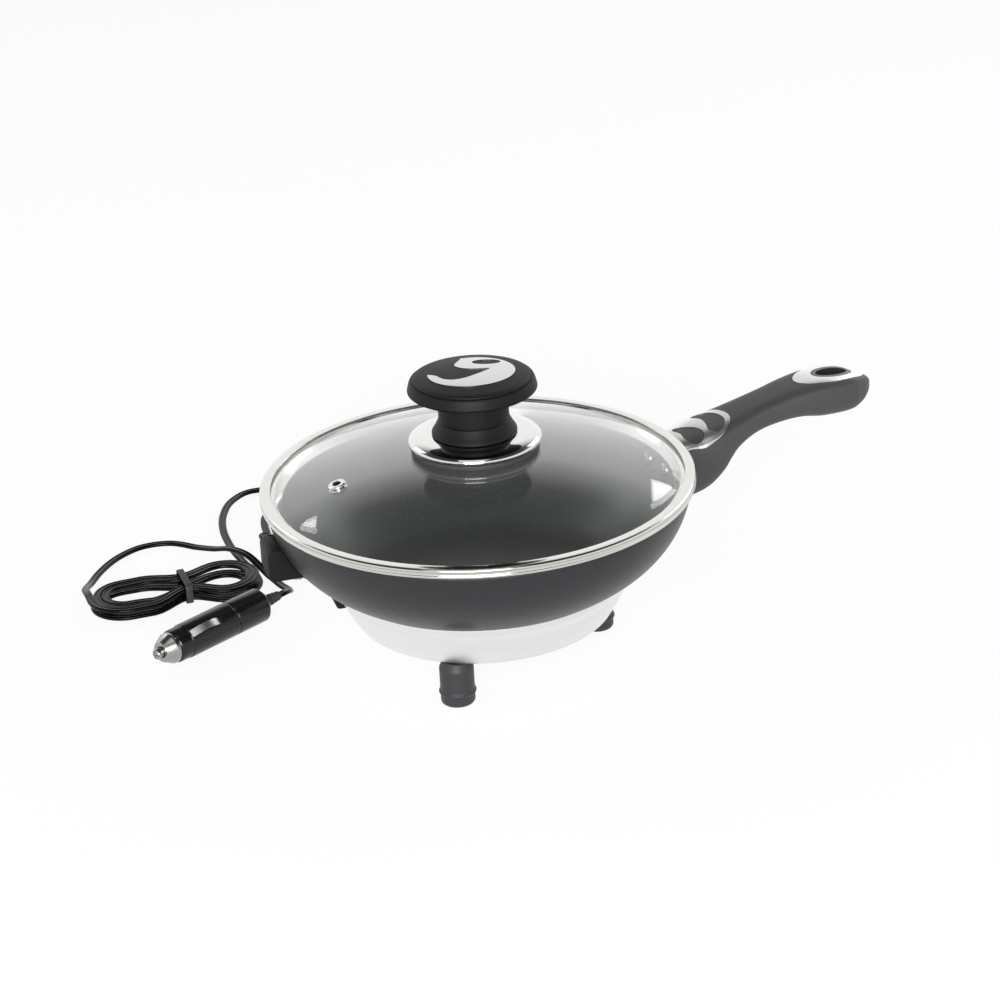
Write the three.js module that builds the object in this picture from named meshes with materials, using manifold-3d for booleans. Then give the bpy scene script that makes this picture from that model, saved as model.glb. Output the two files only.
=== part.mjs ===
// Portable electric skillet: a non-stick pan on a tapered metal base with three
// feet, a domed glass lid that lifts off, and a flat cord that ends in a vehicle plug.
// Millimetres, +Z up. Modelled about the pan's own axis with the floor at zero, then
// shifted so that the middle of the object, without its cord, stands over the origin.
import * as THREE from "three";
import { mergeVertices } from "three/addons/utils/BufferGeometryUtils.js";
import Module from "manifold-3d";

const wasm = await Module();
wasm.setup();

// Clearances and the counts of facets
const gap = 0.3; // between pieces that seat on each other
const overrun = 6; // how far a cutting tool runs past what it cuts
const roundSteps = 40; // facets round the pan, the base and the lid
const knobSteps = 24; // facets round the knob and the heater's discs
const smallSteps = 16; // facets round a foot or a rivet
const fastenerSteps = 8; // facets round a screw and its bore
const bowlSteps = 5; // straight facets up the bowl's wall
const curveSteps = 3; // straight facets along a shorter curve
const domeSteps = 6;

// Pan
const rimRadius = 119.5;
const bowlHeight = 47.8; // part line on the base up to the rim
const bowlFlare = 33.5; // how far the rim stands out beyond the bowl's waist
const waistRadius = rimRadius - bowlFlare; // outside of the bowl at the part line
const panWall = 2.6;
const panFloor = 3;
const floorDrop = 7.4; // part line down to the cooking floor
const floorRadius = 60; // flat middle of the cooking floor
const undersideRadius = 62; // flat middle of the underside
const collarDepth = 2.5; // spigot that the base ring centres on
const studRadius = 3;

// Base ring
const skirtHeight = 26.6;
const skirtFootRadius = 73.5;
const skirtStep = 0.4; // how far the ring stays inside the bowl at the part line
const skirtWall = 1.4; // measured level
const skirtBulge = 1.6;
const skirtChamfer = 1;
const flangeThickness = 1.2;
const flangeWidth = 15;
const coverThickness = 1;
const baseTurn = THREE.MathUtils.degToRad(-9); // feet and cord outlet against the handle

// Feet
const footCount = 3;
const footHeight = 25.7;
const footInset = 6.5; // the feet's middles within the base ring's foot
const footCircle = skirtFootRadius - footInset;
const footRadius = 9.6;
const footTopRadius = 7.4;
const footChamfer = 4;
const footFlare = 0.8;
const footFlareHeight = 7;
const footEdge = 1.2;
const footRecessRadius = 4.8;
const footRecessDepth = 10;
const footScrewRadius = 2;
const footScrewHeadHeight = 2.6;
const footNutFlats = 7;
const footNutHeight = 2.8;

// Heater under the pan
const heaterInset = 17.5; // the heater's edge within the base ring's foot
const heaterRadius = skirtFootRadius - heaterInset;
const micaThickness = 0.8;
const ribbonThickness = 1.2;
const ribbonWidth = 4;
const ribbonTurns = 4;
const ribbonStepsPerTurn = 10;
const ribbonInnerRadius = 18;
const padThickness = 3;
const plateThickness = 1;
const heaterHoleRadius = 6;
const clampNutFlats = 10;
const clampNutHeight = 3;
const cutoutLength = 18;
const cutoutRadius = 7;
const cutoutHeight = 4;
const cutoutCircle = 32;
const terminalLength = 22;
const terminalWidth = 12;
const terminalHeight = 4.4;
const terminalCircle = 34;

// Lid
const bandOverRim = 2.5; // how far the band stands out beyond the pan's rim
const bandRadius = rimRadius + bandOverRim;
const bandHeight = 5.4;
const bandSheet = 0.8;
const bandCover = 6; // how far the band's top flange reaches in over the glass
const bandLedge = 8.5; // how far its lower flange reaches in under the glass
const bandSkirtDrop = 3.6;
const bandSkirtInset = 3.5;
const bandEdge = 0.5;
const glassThickness = 3.2;
const glassFlat = 5.4; // flat edge of the glass inside the band
const glassRise = 21.5;
const glassHoleRadius = 4;
const lidLift = 150; // travel of the lid
const ventCircle = 81;
const ventAzimuth = THREE.MathUtils.degToRad(174);
const ventHoleRadius = 4.2;
const ventBoreRadius = 2.4;
const ventFlangeRadius = 5.2;
const ventFlangeThickness = 0.8;

// Knob
const saucerRadius = 37.2;
const saucerHeight = 5.5;
const saucerSheet = 1.2;
const sealWidth = 4.5;
const sealHeight = 2;
const neckRadius = 19.7;
const neckHeight = 20.4;
const neckFlange = 4.2;
const neckFlare = 8.2;
const headRadius = 36;
const headHeight = 14.6;
const headGrooveHeight = 11.6; // top of the groove above the head's underside
const headGrooveRadius = 33.1;
const headGroove = 0.6;
const headTrimRadius = 24.4; // half the inlay's length
const headTrimHalfDepth = 22;
const headTrimSetBack = 1.6; // the inlay's middle behind the knob's axis
const trimThickness = 1.2;
const trimProud = 0.3;
const knobScrewRadius = 2.5;
const knobScrewHeadRadius = 5;
const knobScrewHeadHeight = 2.4;
const knobScrewReach = 8; // into the head
const knobWasherRadius = 9;
const knobWasherThickness = 1.2;

// Handle
const handleRoot = 21.5; // how far the handle starts within the rim, before its root is cut to fit
const handleStart = rimRadius - handleRoot;
const handleLength = 159;
const handleRise = 13.5; // crest of the grip above the lid's band
const handleDrop = 41; // root of the handle below the lid's band
const handleHalfWidth = 19.3;
const handleTopRoundness = 4.2; // exponent of the section above its middle
const handleSideRoundness = 2.5; // and below it
const handleSectionPoints = 16;
const bracketThickness = 1.6;
const bracketWidth = 30;
const bracketBottomShare = 0.45;
const bracketTopShare = 0.78;
const tongueWidth = 14;
const tongueThickness = 2.5;
const tongueReach = 28;
const rivetSpread = THREE.MathUtils.degToRad(5.1);
const rivetHeightShare = 0.69;
const rivetRadius = 2.2;
const rivetHeadRadius = 4.5;
const rivetHeadHeight = 1.8;
const rivetTailRadius = 3.6;
const rivetTailHeight = 1.2;
const handleScrewRadius = 1.8;
const handleScrewHeadRadius = 3.4;
const handleScrewHeadHeight = 2.2;
const handleScrewReach = 18; // tongue's root to the screw
const handleScrewDepth = 4; // head below the handle's underside
const frontTrimLap = 4; // how far the front inlay starts within the lid's band
const frontTrimStart = bandRadius - frontTrimLap;
const frontTrimLength = 42;
const frontTrimHalfWidth = 17;
const handleEnd = handleStart + handleLength;
const endTrimInset = 27.1; // the inlay's middle from the handle's end
const endTrimCentre = handleEnd - endTrimInset;
const endTrimLength = 46.2;
const endTrimWidth = 26;
const hangHoleInset = 25; // the hole's middle from the handle's end
const hangHoleCentre = handleEnd - hangHoleInset;
const hangHoleLength = 20.5;
const hangHoleWidth = 11.2;
const eyeletWall = 2.6;

// Cord outlet on the pan's wall
const housingWidth = 22;
const housingOverRim = 4.5; // how far the outlet's back stands out beyond the rim
const housingReach = rimRadius + housingOverRim; // from the pan's axis
const housingBottomShare = 0.31;
const housingTopShare = 0.69;
const tongueProud = 3.2; // lower tongue over the base ring's top
const tongueLap = 9;
const housingStripShare = 0.8; // lower tongue's width against the block's
const housingEdge = 2;
const reliefLength = 16;
const reliefRadius = 4.2;
const reliefTipRadius = 2.9;
const reliefRib = 0.7;
const reliefRibs = 3;
const reliefRibShare = 0.6; // length of a rib against the pitch

// Cord: flat twin lead, standing on its edge
const cordHeight = 5;
const cordThickness = 2.5;
const cordFloor = 0.1;
const hankTurnFolds = 9; // straight runs, each followed by a fold
const hankClimbRun = 5; // the run that climbs from the lower layer to the upper one
const hankHalfRun = 30;
const hankFoldRadius = 12.5;
const hankPitch = 3.5;
const hankLayerRise = 5.6;
const hankDrawIn = 10;
const hankWaistPlace = 6;
const hankWaistReach = 24;
const hankWaistLift = 1.3;
const hankRunSteps = 5;
const hankFoldSteps = 7;
const hankApart = 28; // rings between stretches whose gap is measured
const tieWidth = 4;
const tieThickness = 0.8;

// Vehicle plug
const plugRadius = 10.4;
const plugLength = 70;
const plugShoulder = 1.5;
const plugBoreRadius = 4.6;
const noseLength = 8;
const noseRadius = 9.2;
const noseTipRadius = 6;
const tipRadius = 3.2;
const tipCollarRadius = 4.2;
const tipCollarLength = 2;
const tipProud = 4.5;
const fuseRadius = 3.1;
const fuseLength = 25;
const springLength = 12;
const springWire = 0.8;
const springTurns = 4;
const springStepsPerTurn = 6;
const contactLength = 24;
const contactWidth = 4.4;
const contactThickness = 0.8;
const contactProud = 1.5;
const contactTravel = 1.2;
const contactSink = 2.4; // ends of the contact below the plug's surface
const contactPlace = 48.5; // middle of the contact from the plug's rear
const contactTurn = THREE.MathUtils.degToRad(-45);
const plugReliefLength = 14;

// Levels, from the floor up
const skirtBottom = footHeight + gap;
const flangeTop = skirtBottom + flangeThickness;
const coverBottom = flangeTop + gap;
const coverTop = coverBottom + coverThickness;
const skirtTop = skirtBottom + skirtHeight;
const partLine = skirtTop + gap;
const cookingFloor = partLine - floorDrop;
const underside = cookingFloor - panFloor;
const rimTop = partLine + bowlHeight;
const bandBottom = rimTop + gap;
const bandTop = bandBottom + bandHeight;
const micaUpperTop = underside - gap;
const ribbonTop = micaUpperTop - micaThickness - gap;
const micaLowerTop = ribbonTop - ribbonThickness - gap;
const padTop = micaLowerTop - micaThickness - gap;
const plateTop = padTop - padThickness - gap;
const plateBottom = plateTop - plateThickness;
const clampNutTop = plateBottom - gap;
const glassEdgeBottom = bandBottom + bandSheet + gap;
const glassEdgeTop = glassEdgeBottom + glassThickness;
const glassTop = glassEdgeTop + glassRise;

// Clearance of a piece whose flats cross the pan's facets, so that it also clears
// their corners
const turnedGap = gap + rimRadius * (1 - Math.cos(Math.PI / roundSteps));

// Finishes
const coating = finish(0x3b3d42, 0.45, 0.2);
const brushed = finish(0xd9d9d6, 0.35, 1);
const chrome = finish(0xe4e4e2, 0.12, 1);
const steel = finish(0xa8a8a8, 0.4, 1);
const blackPlastic = finish(0x202226, 0.5, 0);
const blackGloss = finish(0x141518, 0.2, 0);
const rubber = finish(0x1c1c1e, 0.8, 0);
const mica = finish(0xb9ab86, 0.7, 0);
const wool = finish(0xe9e6dc, 0.95, 0);
const nickel = finish(0x8f8a80, 0.5, 1);
const ceramic = finish(0xdcd6c6, 0.6, 0);
const glass = finish(0xdfe9e6, 0.05, 0);
glass.transparent = true;
glass.opacity = 0.35;

function finish(color, roughness, metalness) {
  return new THREE.MeshStandardMaterial({ color, roughness, metalness });
}

// A point of a profile: radius and height
function at(radius, height) {
  return new THREE.Vector2(radius, height);
}

// One closed skin with its faces outwards: corners merged, collapsed faces dropped
function weld(geometry) {
  const bare = new THREE.BufferGeometry();
  bare.setAttribute("position", geometry.getAttribute("position"));
  bare.setIndex(geometry.getIndex());
  const merged = mergeVertices(bare);
  const corners = merged.getAttribute("position");
  const index = merged.getIndex().array;
  const kept = [];
  const a = new THREE.Vector3();
  const b = new THREE.Vector3();
  const c = new THREE.Vector3();
  let volume = 0;
  for (let i = 0; i < index.length; i += 3) {
    const [p, q, r] = [index[i], index[i + 1], index[i + 2]];
    if (p === q || q === r || r === p) continue;
    kept.push(p, q, r);
    a.fromBufferAttribute(corners, p);
    b.fromBufferAttribute(corners, q);
    c.fromBufferAttribute(corners, r);
    volume += a.dot(b.cross(c));
  }
  if (volume < 0) kept.reverse();
  merged.setIndex(kept);
  return merged;
}

// The boolean library's solid of a closed geometry, and the way back
function solid(geometry) {
  const skin = weld(geometry);
  const vertProperties = Float32Array.from(skin.getAttribute("position").array);
  const triVerts = Uint32Array.from(skin.getIndex().array);
  return new wasm.Manifold(new wasm.Mesh({ numProp: 3, vertProperties, triVerts }));
}

function surface(body) {
  const { vertProperties, triVerts } = body.getMesh();
  const geometry = new THREE.BufferGeometry();
  const corners = Float32Array.from(vertProperties);
  geometry.setAttribute("position", new THREE.BufferAttribute(corners, 3));
  geometry.setIndex(new THREE.BufferAttribute(Uint32Array.from(triVerts), 1));
  return geometry;
}

function cut(geometry, ...tools) {
  const left = tools.reduce((body, tool) => body.subtract(solid(tool)), solid(geometry));
  return surface(left);
}

function join(geometry, ...others) {
  const whole = others.reduce((body, other) => body.add(solid(other)), solid(geometry));
  return surface(whole);
}

function common(geometry, ...others) {
  const shared = others.reduce((body, other) => body.intersect(solid(other)), solid(geometry));
  return surface(shared);
}

// A profile turned about +Z; one that stays off the axis closes on its first point
function revolve(points, steps = roundSteps) {
  const onAxis = points[0].x === 0;
  const profile = onAxis ? points : [...points, points[0]];
  return weld(new THREE.LatheGeometry(profile, steps).rotateX(Math.PI / 2));
}

function cylinder(radius, bottom, top, steps = smallSteps) {
  return revolve([at(0, bottom), at(radius, bottom), at(radius, top), at(0, top)], steps);
}

function ring(inner, outer, bottom, top, steps = roundSteps) {
  return revolve([at(inner, bottom), at(outer, bottom), at(outer, top), at(inner, top)], steps);
}

function box(lowX, highX, lowY, highY, lowZ, highZ) {
  const geometry = new THREE.BoxGeometry(highX - lowX, highY - lowY, highZ - lowZ);
  return geometry.translate((lowX + highX) / 2, (lowY + highY) / 2, (lowZ + highZ) / 2);
}

// An outline in plan, given as points, raised from one height to another
function prism(points, bottom, top, holes = []) {
  const shape = new THREE.Shape(points);
  shape.holes = holes.map((hole) => new THREE.Path(hole));
  const geometry = new THREE.ExtrudeGeometry(shape, {
    depth: top - bottom,
    bevelEnabled: false,
    curveSegments: 1,
  });
  return geometry.translate(0, 0, bottom);
}

function hexagon(flats, bottom, top, bore) {
  const corner = flats / Math.sqrt(3);
  const body = cylinder(corner, bottom, top, 6);
  return cut(body, cylinder(bore, bottom - overrun, top + overrun, fastenerSteps));
}

// Rings of equally many corners, skinned one after another and closed at both ends
function skin(rings, firstTip = middle(rings[0]), lastTip = middle(rings[rings.length - 1])) {
  const count = rings[0].length;
  const corners = rings.flat();
  const faces = [];
  for (let i = 0; i + 1 < rings.length; i++) {
    for (let j = 0; j < count; j++) {
      const k = (j + 1) % count;
      const [a, b, c, d] = [i * count + j, i * count + k, i * count + count + j, i * count + count + k];
      faces.push(a, b, d, a, d, c);
    }
  }
  const first = corners.push(firstTip) - 1;
  const last = corners.push(lastTip) - 1;
  const lastRing = (rings.length - 1) * count;
  for (let j = 0; j < count; j++) {
    const k = (j + 1) % count;
    faces.push(first, k, j);
    faces.push(last, lastRing + j, lastRing + k);
  }
  const geometry = new THREE.BufferGeometry().setFromPoints(corners);
  geometry.setIndex(faces);
  return weld(geometry);
}

function middle(points) {
  const sum = points.reduce((total, point) => total.add(point), new THREE.Vector3());
  return sum.divideScalar(points.length);
}

// Points of a curve from one end to the other
function along(curve, steps) {
  return curve.getPoints(steps);
}

// Where a rising profile curve passes a height
function placeOn(curve, height) {
  let low = 0;
  let high = 1;
  for (let i = 0; i < 40; i++) {
    const half = (low + high) / 2;
    if (curve.getPoint(half).y < height) low = half;
    else high = half;
  }
  return (low + high) / 2;
}

function radiusOn(curve, height) {
  return curve.getPoint(placeOn(curve, height)).x;
}

// A profile curve moved sideways, to its left, by a distance
function beside(curve, steps, distance) {
  return Array.from({ length: steps + 1 }, (_, i) => {
    const tangent = curve.getTangent(i / steps);
    const side = at(-tangent.y, tangent.x).multiplyScalar(distance);
    return curve.getPoint(i / steps).add(side);
  });
}

// A closed outline in plan moved outwards by a distance
function grown(points, distance) {
  const turning = THREE.ShapeUtils.area(points) > 0 ? 1 : -1;
  return points.map((point, i) => {
    const before = points[(i + points.length - 1) % points.length];
    const after = points[(i + 1) % points.length];
    const run = after.clone().sub(before).normalize();
    return point.clone().add(at(run.y, -run.x).multiplyScalar(distance * turning));
  });
}

function oval(centreX, centreY, length, width, turn = 0, steps = 18) {
  return Array.from({ length: steps }, (_, i) => {
    const angle = (2 * Math.PI * i) / steps;
    const point = at((Math.cos(angle) * length) / 2, (Math.sin(angle) * width) / 2);
    return point.rotateAround(at(0, 0), turn).add(at(centreX, centreY));
  });
}

function addPiece(group, name, geometry, material) {
  const mesh = new THREE.Mesh(weld(geometry), material);
  mesh.name = name;
  group.add(mesh);
  return mesh;
}

// Profile curves that several pieces share. The bowl swells quickly above the base
// and stands almost upright at the rim.
const bowlSwellShare = 0.866;
const bowlKneeShare = 0.347;
const bowlLipShare = 0.65;
const bowlCurve = new THREE.QuadraticBezierCurve(
  at(waistRadius, partLine),
  at(waistRadius + (rimRadius - waistRadius) * bowlSwellShare, partLine + bowlHeight * bowlKneeShare),
  at(rimRadius, rimTop - panWall * bowlLipShare),
);
const skirtTopRadius = waistRadius - skirtStep;
const skirtMiddle = at((skirtFootRadius + skirtTopRadius) / 2, skirtBottom + skirtHeight / 2);
const skirtCurve = new THREE.QuadraticBezierCurve(
  at(skirtFootRadius, skirtBottom + skirtChamfer),
  at(skirtMiddle.x + skirtBulge, skirtMiddle.y - skirtBulge),
  at(skirtTopRadius, skirtTop),
);
const skirtInside = radiusOn(skirtCurve, flangeTop) - skirtWall;

// The bowl's outer face, its rounded rim and its inner face as one line
function bowlWall() {
  const outer = along(bowlCurve, bowlSteps);
  const inner = beside(bowlCurve, bowlSteps, panWall).reverse();
  const rim = outer[bowlSteps].clone().add(inner[0]).divideScalar(2);
  const upwards = bowlCurve.getTangent(1);
  const across = outer[bowlSteps].clone().sub(rim);
  const lip = [1, 2].map((i) => {
    const angle = (Math.PI * i) / 3;
    const out = across.clone().multiplyScalar(Math.cos(angle));
    return rim.clone().add(out).addScaledVector(upwards, Math.sin(angle) * across.length());
  });
  return [...outer, ...lip, ...inner];
}

const floorCurveShare = 0.35;
function panBody() {
  const wall = bowlWall();
  const innerBase = wall[wall.length - 1];
  const collarRadius = radiusOn(skirtCurve, skirtTop) - skirtWall - gap;
  const collarBottom = partLine - collarDepth;
  const collarBottomRadius = radiusOn(skirtCurve, collarBottom) - skirtWall - gap;
  const belly = new THREE.QuadraticBezierCurve(
    at(undersideRadius, underside),
    at(undersideRadius + (collarBottomRadius - undersideRadius) * floorCurveShare, underside),
    at(collarBottomRadius, collarBottom),
  );
  const hollow = new THREE.QuadraticBezierCurve(
    innerBase,
    at(floorRadius + (innerBase.x - floorRadius) * floorCurveShare, cookingFloor),
    at(floorRadius, cookingFloor),
  );
  const studBottom = clampNutTop - clampNutHeight - gap;
  const profile = [
    at(0, studBottom),
    at(studRadius, studBottom),
    at(studRadius, underside),
    ...along(belly, curveSteps),
    at(collarRadius, partLine),
    ...wall,
    ...along(hollow, curveSteps).slice(1),
    at(0, cookingFloor),
  ];
  const holes = rivetFrames().map((frame) =>
    cylinder(rivetRadius + gap / 2, -panWall - overrun, overrun).applyMatrix4(frame),
  );
  return cut(revolve(profile), ...holes);
}

// Place and direction of each handle rivet: +Z points out of the wall, zero is its face
function rivetFrames() {
  const height = partLine + bowlHeight * rivetHeightShare;
  const place = placeOn(bowlCurve, height);
  const point = bowlCurve.getPoint(place);
  const tangent = bowlCurve.getTangent(place);
  return [-1, 1].map((side) => {
    const frame = new THREE.Matrix4().makeRotationZ(side * rivetSpread);
    const tilt = new THREE.Matrix4().makeRotationY(Math.atan2(tangent.y, -tangent.x));
    return frame.multiply(new THREE.Matrix4().makeTranslation(point.x, 0, point.y)).multiply(tilt);
  });
}

function skirt() {
  const outer = along(skirtCurve, curveSteps);
  const inner = along(skirtCurve, curveSteps)
    .filter((point) => point.y > flangeTop)
    .map((point) => at(point.x - skirtWall, point.y))
    .reverse();
  const flangeInner = skirtFootRadius - flangeWidth;
  const profile = [
    at(flangeInner, skirtBottom),
    at(skirtFootRadius - skirtChamfer, skirtBottom),
    ...outer,
    ...inner,
    at(skirtInside, flangeTop),
    at(flangeInner, flangeTop),
  ];
  return cut(revolve(profile), ...footBores());
}

// Round holes for the foot screws, through the flange and the cover
function footBores() {
  return footAngles().map((angle) => {
    const bore = cylinder(
      footScrewRadius + gap, skirtBottom - overrun, coverTop + overrun, fastenerSteps,
    );
    return bore.translate(footCircle, 0, 0).rotateZ(baseTurn + angle);
  });
}

function footAngles() {
  return Array.from({ length: footCount }, (_, i) => (2 * Math.PI * i) / footCount);
}

function bottomCover() {
  const plate = cylinder(skirtInside - gap, coverBottom, coverTop, roundSteps);
  return cut(plate, ...footBores());
}

function foot() {
  const bore = footScrewRadius + gap;
  const profile = [
    at(footRecessRadius, 0),
    at(footRadius - footEdge, 0),
    at(footRadius, footEdge),
    at(footRadius, footFlareHeight - footFlare),
    at(footRadius + footFlare, footFlareHeight),
    at(footRadius, footFlareHeight + footFlare),
    at(footRadius, footHeight - footChamfer),
    at(footTopRadius, footHeight),
    at(bore, footHeight),
    at(bore, footRecessDepth),
    at(footRecessRadius, footRecessDepth),
  ];
  return revolve(profile, smallSteps);
}

function footScrew() {
  const headTop = footRecessDepth - gap;
  const tip = coverTop + gap + footNutHeight + gap;
  const profile = [
    at(0, headTop - footScrewHeadHeight),
    at(footRecessRadius - 3 * gap, headTop - footScrewHeadHeight),
    at(footRecessRadius - gap, headTop - footScrewHeadHeight / 2),
    at(footRecessRadius - gap, headTop),
    at(footScrewRadius, headTop),
    at(footScrewRadius, tip),
    at(0, tip),
  ];
  return revolve(profile, fastenerSteps);
}

function addBase(group) {
  addPiece(group, "pan_body", panBody(), coating);
  addPiece(group, "base_skirt", skirt(), brushed);
  addPiece(group, "bottom_cover", bottomCover(), steel);
  const turned = new THREE.Group();
  turned.rotation.z = baseTurn;
  group.add(turned);
  const nutBottom = coverTop + gap;
  ["front", "right", "back"].forEach((side, i) => {
    const angle = footAngles()[(i + footCount - 1) % footCount];
    const place = new THREE.Group();
    place.position.set(footCircle * Math.cos(angle), footCircle * Math.sin(angle), 0);
    place.rotation.z = angle;
    turned.add(place);
    addPiece(place, `foot_${side}`, foot(), rubber);
    addPiece(place, `foot_screw_${side}`, footScrew(), steel);
    const nut = hexagon(footNutFlats, nutBottom, nutBottom + footNutHeight, footScrewRadius + gap);
    addPiece(place, `foot_nut_${side}`, nut, steel);
  });
  addCordOutlet(turned);
}

// Flat ribbon wound as a spiral between the two mica discs
function heatingRibbon() {
  const steps = ribbonTurns * ribbonStepsPerTurn;
  const outerRadius = heaterRadius - ribbonWidth;
  const rings = Array.from({ length: steps + 1 }, (_, i) => {
    const angle = (2 * Math.PI * i) / ribbonStepsPerTurn;
    const radius = ribbonInnerRadius + ((outerRadius - ribbonInnerRadius) * i) / steps;
    const [near, far] = [radius - ribbonWidth / 2, radius + ribbonWidth / 2];
    const [low, high] = [ribbonTop - ribbonThickness, ribbonTop];
    return [at(near, low), at(far, low), at(far, high), at(near, high)].map(
      (p) => new THREE.Vector3(p.x * Math.cos(angle), p.x * Math.sin(angle), p.y),
    );
  });
  return skin(rings);
}

function addHeater(group) {
  const disc = (top, thickness, hole) =>
    ring(hole, heaterRadius, top - thickness, top, knobSteps);
  const stud = studRadius + gap;
  addPiece(group, "mica_upper", disc(micaUpperTop, micaThickness, heaterHoleRadius), mica);
  addPiece(group, "heating_element", heatingRibbon(), nickel);
  addPiece(group, "mica_lower", disc(micaLowerTop, micaThickness, heaterHoleRadius), mica);
  addPiece(group, "insulation_pad", disc(padTop, padThickness, heaterHoleRadius), wool);
  addPiece(group, "pressure_plate", disc(plateTop, plateThickness, stud), steel);
  const nut = hexagon(clampNutFlats, clampNutTop - clampNutHeight, clampNutTop, stud);
  addPiece(group, "clamp_nut", nut, steel);
  const cutoutTop = plateBottom - gap;
  const button = cylinder(cutoutRadius, cutoutTop - cutoutHeight, cutoutTop);
  const ears = box(
    -cutoutLength / 2, cutoutLength / 2,
    -cutoutRadius / 2, cutoutRadius / 2,
    cutoutTop - plateThickness, cutoutTop,
  );
  addPiece(group, "thermal_cutout", join(button, ears), ceramic).position.y = cutoutCircle;
  const blockTop = plateBottom - gap;
  const blockBottom = blockTop - terminalHeight;
  const block = box(
    -terminalCircle - terminalWidth / 2, -terminalCircle + terminalWidth / 2,
    -terminalLength / 2, terminalLength / 2,
    blockBottom, blockTop,
  );
  const screwWells = [-1, 0, 1].map((i) =>
    cylinder(terminalWidth / 6, blockBottom - overrun, blockTop - terminalHeight / 2, fastenerSteps)
      .translate(-terminalCircle, (i * terminalLength) / 3, 0),
  );
  addPiece(group, "terminal_block", cut(block, ...screwWells), ceramic);
}

// The wall's outside and everything within it, grown by a clearance, for cutting
// whatever stands against the pan
function wallKeepOut(clearance) {
  const outside = beside(bowlCurve, bowlSteps, -clearance);
  const high = outside[outside.length - 1];
  return revolve([
    at(0, outside[0].y),
    ...outside,
    at(high.x, bandBottom - gap),
    at(0, bandBottom - gap),
  ]);
}

function lidKeepOut() {
  const radius = bandRadius + gap;
  return cylinder(radius, bandBottom - gap, bandTop + lidLift, roundSteps);
}

// Sections of the handle from root to tip: place along its length, top as a share of
// the rise, bottom as a share of the drop and half width as a share of the widest
const handleShares = [
  [0, -0.52, -1, 0.8],
  [0.127, -0.44, -1, 0.86],
  [0.183, -0.3, -1, 0.94],
  [0.226, -0.22, -0.976, 0.97],
  [0.277, -0.07, -0.9, 1],
  [0.328, 0.04, -0.74, 0.97],
  [0.358, 0.11, -0.59, 0.915],
  [0.396, 0.2, -0.43, 0.845],
  [0.484, 0.44, -0.26, 0.745],
  [0.579, 0.67, -0.195, 0.745],
  [0.679, 0.89, -0.185, 0.83],
  [0.773, 1, -0.245, 0.9],
  [0.867, 0.95, -0.255, 0.895],
  [0.931, 0.8, -0.21, 0.7],
  [0.97, 0.62, -0.125, 0.47],
  [0.992, 0.42, -0.03, 0.24],
];
const handleTipShare = 0.2;

// The handle's body, or the same body grown or shrunk all round
function handleLoft(growth) {
  const rings = handleShares.map(([place, topShare, bottomShare, widthShare]) => {
    const top = bandTop + handleRise * topShare + growth;
    const bottom = bandTop + handleDrop * bottomShare - growth;
    const halfWidth = handleHalfWidth * widthShare + growth;
    return handleSection(handleStart + handleLength * place, top, bottom, halfWidth);
  });
  const firstTip = middle(rings[0]);
  const tipHeight = bandTop + handleRise * handleTipShare;
  return skin(rings, firstTip, new THREE.Vector3(handleStart + handleLength + growth, 0, tipHeight));
}

function handleSection(x, top, bottom, halfWidth) {
  return Array.from({ length: handleSectionPoints }, (_, i) => {
    const angle = (2 * Math.PI * i) / handleSectionPoints;
    const power = 2 / (i * 2 < handleSectionPoints ? handleTopRoundness : handleSideRoundness);
    const across = Math.sign(Math.cos(angle)) * Math.abs(Math.cos(angle)) ** power;
    const upward = Math.sign(Math.sin(angle)) * Math.abs(Math.sin(angle)) ** power;
    const height = (top + bottom) / 2 + (upward * (top - bottom)) / 2;
    return new THREE.Vector3(x, across * halfWidth, height);
  });
}

// Height of the handle's underside at a distance from the pan's axis
function handleBottomAt(x) {
  const share = (x - handleStart) / handleLength;
  const next = handleShares.findIndex(([place]) => place >= share);
  const [from, to] = [handleShares[next - 1], handleShares[next]];
  const part = (share - from[0]) / (to[0] - from[0]);
  return bandTop + handleDrop * (from[2] + (to[2] - from[2]) * part);
}

const bracketBottom = partLine + bowlHeight * bracketBottomShare;
const bracketTop = partLine + bowlHeight * bracketTopShare;
const tongueTop = (bracketBottom + bracketTop) / 2;
const bracketFace = radiusOn(bowlCurve, tongueTop) + bracketThickness;
const tongueEnd = bracketFace + tongueReach;

// Steel plate that hugs the wall, with a tongue that the handle slides on to
function bracketShape(clearance) {
  const plate = common(
    cut(wallKeepOut(gap + bracketThickness + clearance), wallKeepOut(gap - clearance)),
    box(
      0, rimRadius + overrun,
      -bracketWidth / 2 - clearance, bracketWidth / 2 + clearance,
      bracketBottom - clearance, bracketTop + clearance,
    ),
  );
  const tongue = box(
    bracketFace - bracketThickness, tongueEnd + clearance,
    -tongueWidth / 2 - clearance, tongueWidth / 2 + clearance,
    tongueTop - tongueThickness - clearance, tongueTop + clearance,
  );
  return join(plate, cut(tongue, wallKeepOut(gap - clearance)));
}

// Shares of a rivet's head radius and height over its dome
const rivetShares = [[0, 1], [0.5, 0.9], [0.87, 0.5], [1, 0]];
function rivet() {
  const outFace = gap + bracketThickness + gap;
  const hollow = rivetHeadRadius ** 2 / (2 * rimRadius);
  const inFace = -panWall - turnedGap - hollow;
  const shank = rivetRadius;
  const dome = rivetShares.map(([r, h]) => at(rivetHeadRadius * r, inFace - rivetHeadHeight * h));
  const profile = [
    ...dome,
    at(shank, inFace),
    at(shank, outFace),
    at(rivetTailRadius, outFace),
    at(rivetTailRadius, outFace + rivetTailHeight),
    at(0, outFace + rivetTailHeight),
  ];
  return revolve(profile, smallSteps);
}

const handleScrewPlace = bracketFace + handleScrewReach;
const handleScrewHead = handleBottomAt(handleScrewPlace) + handleScrewDepth;

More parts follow.
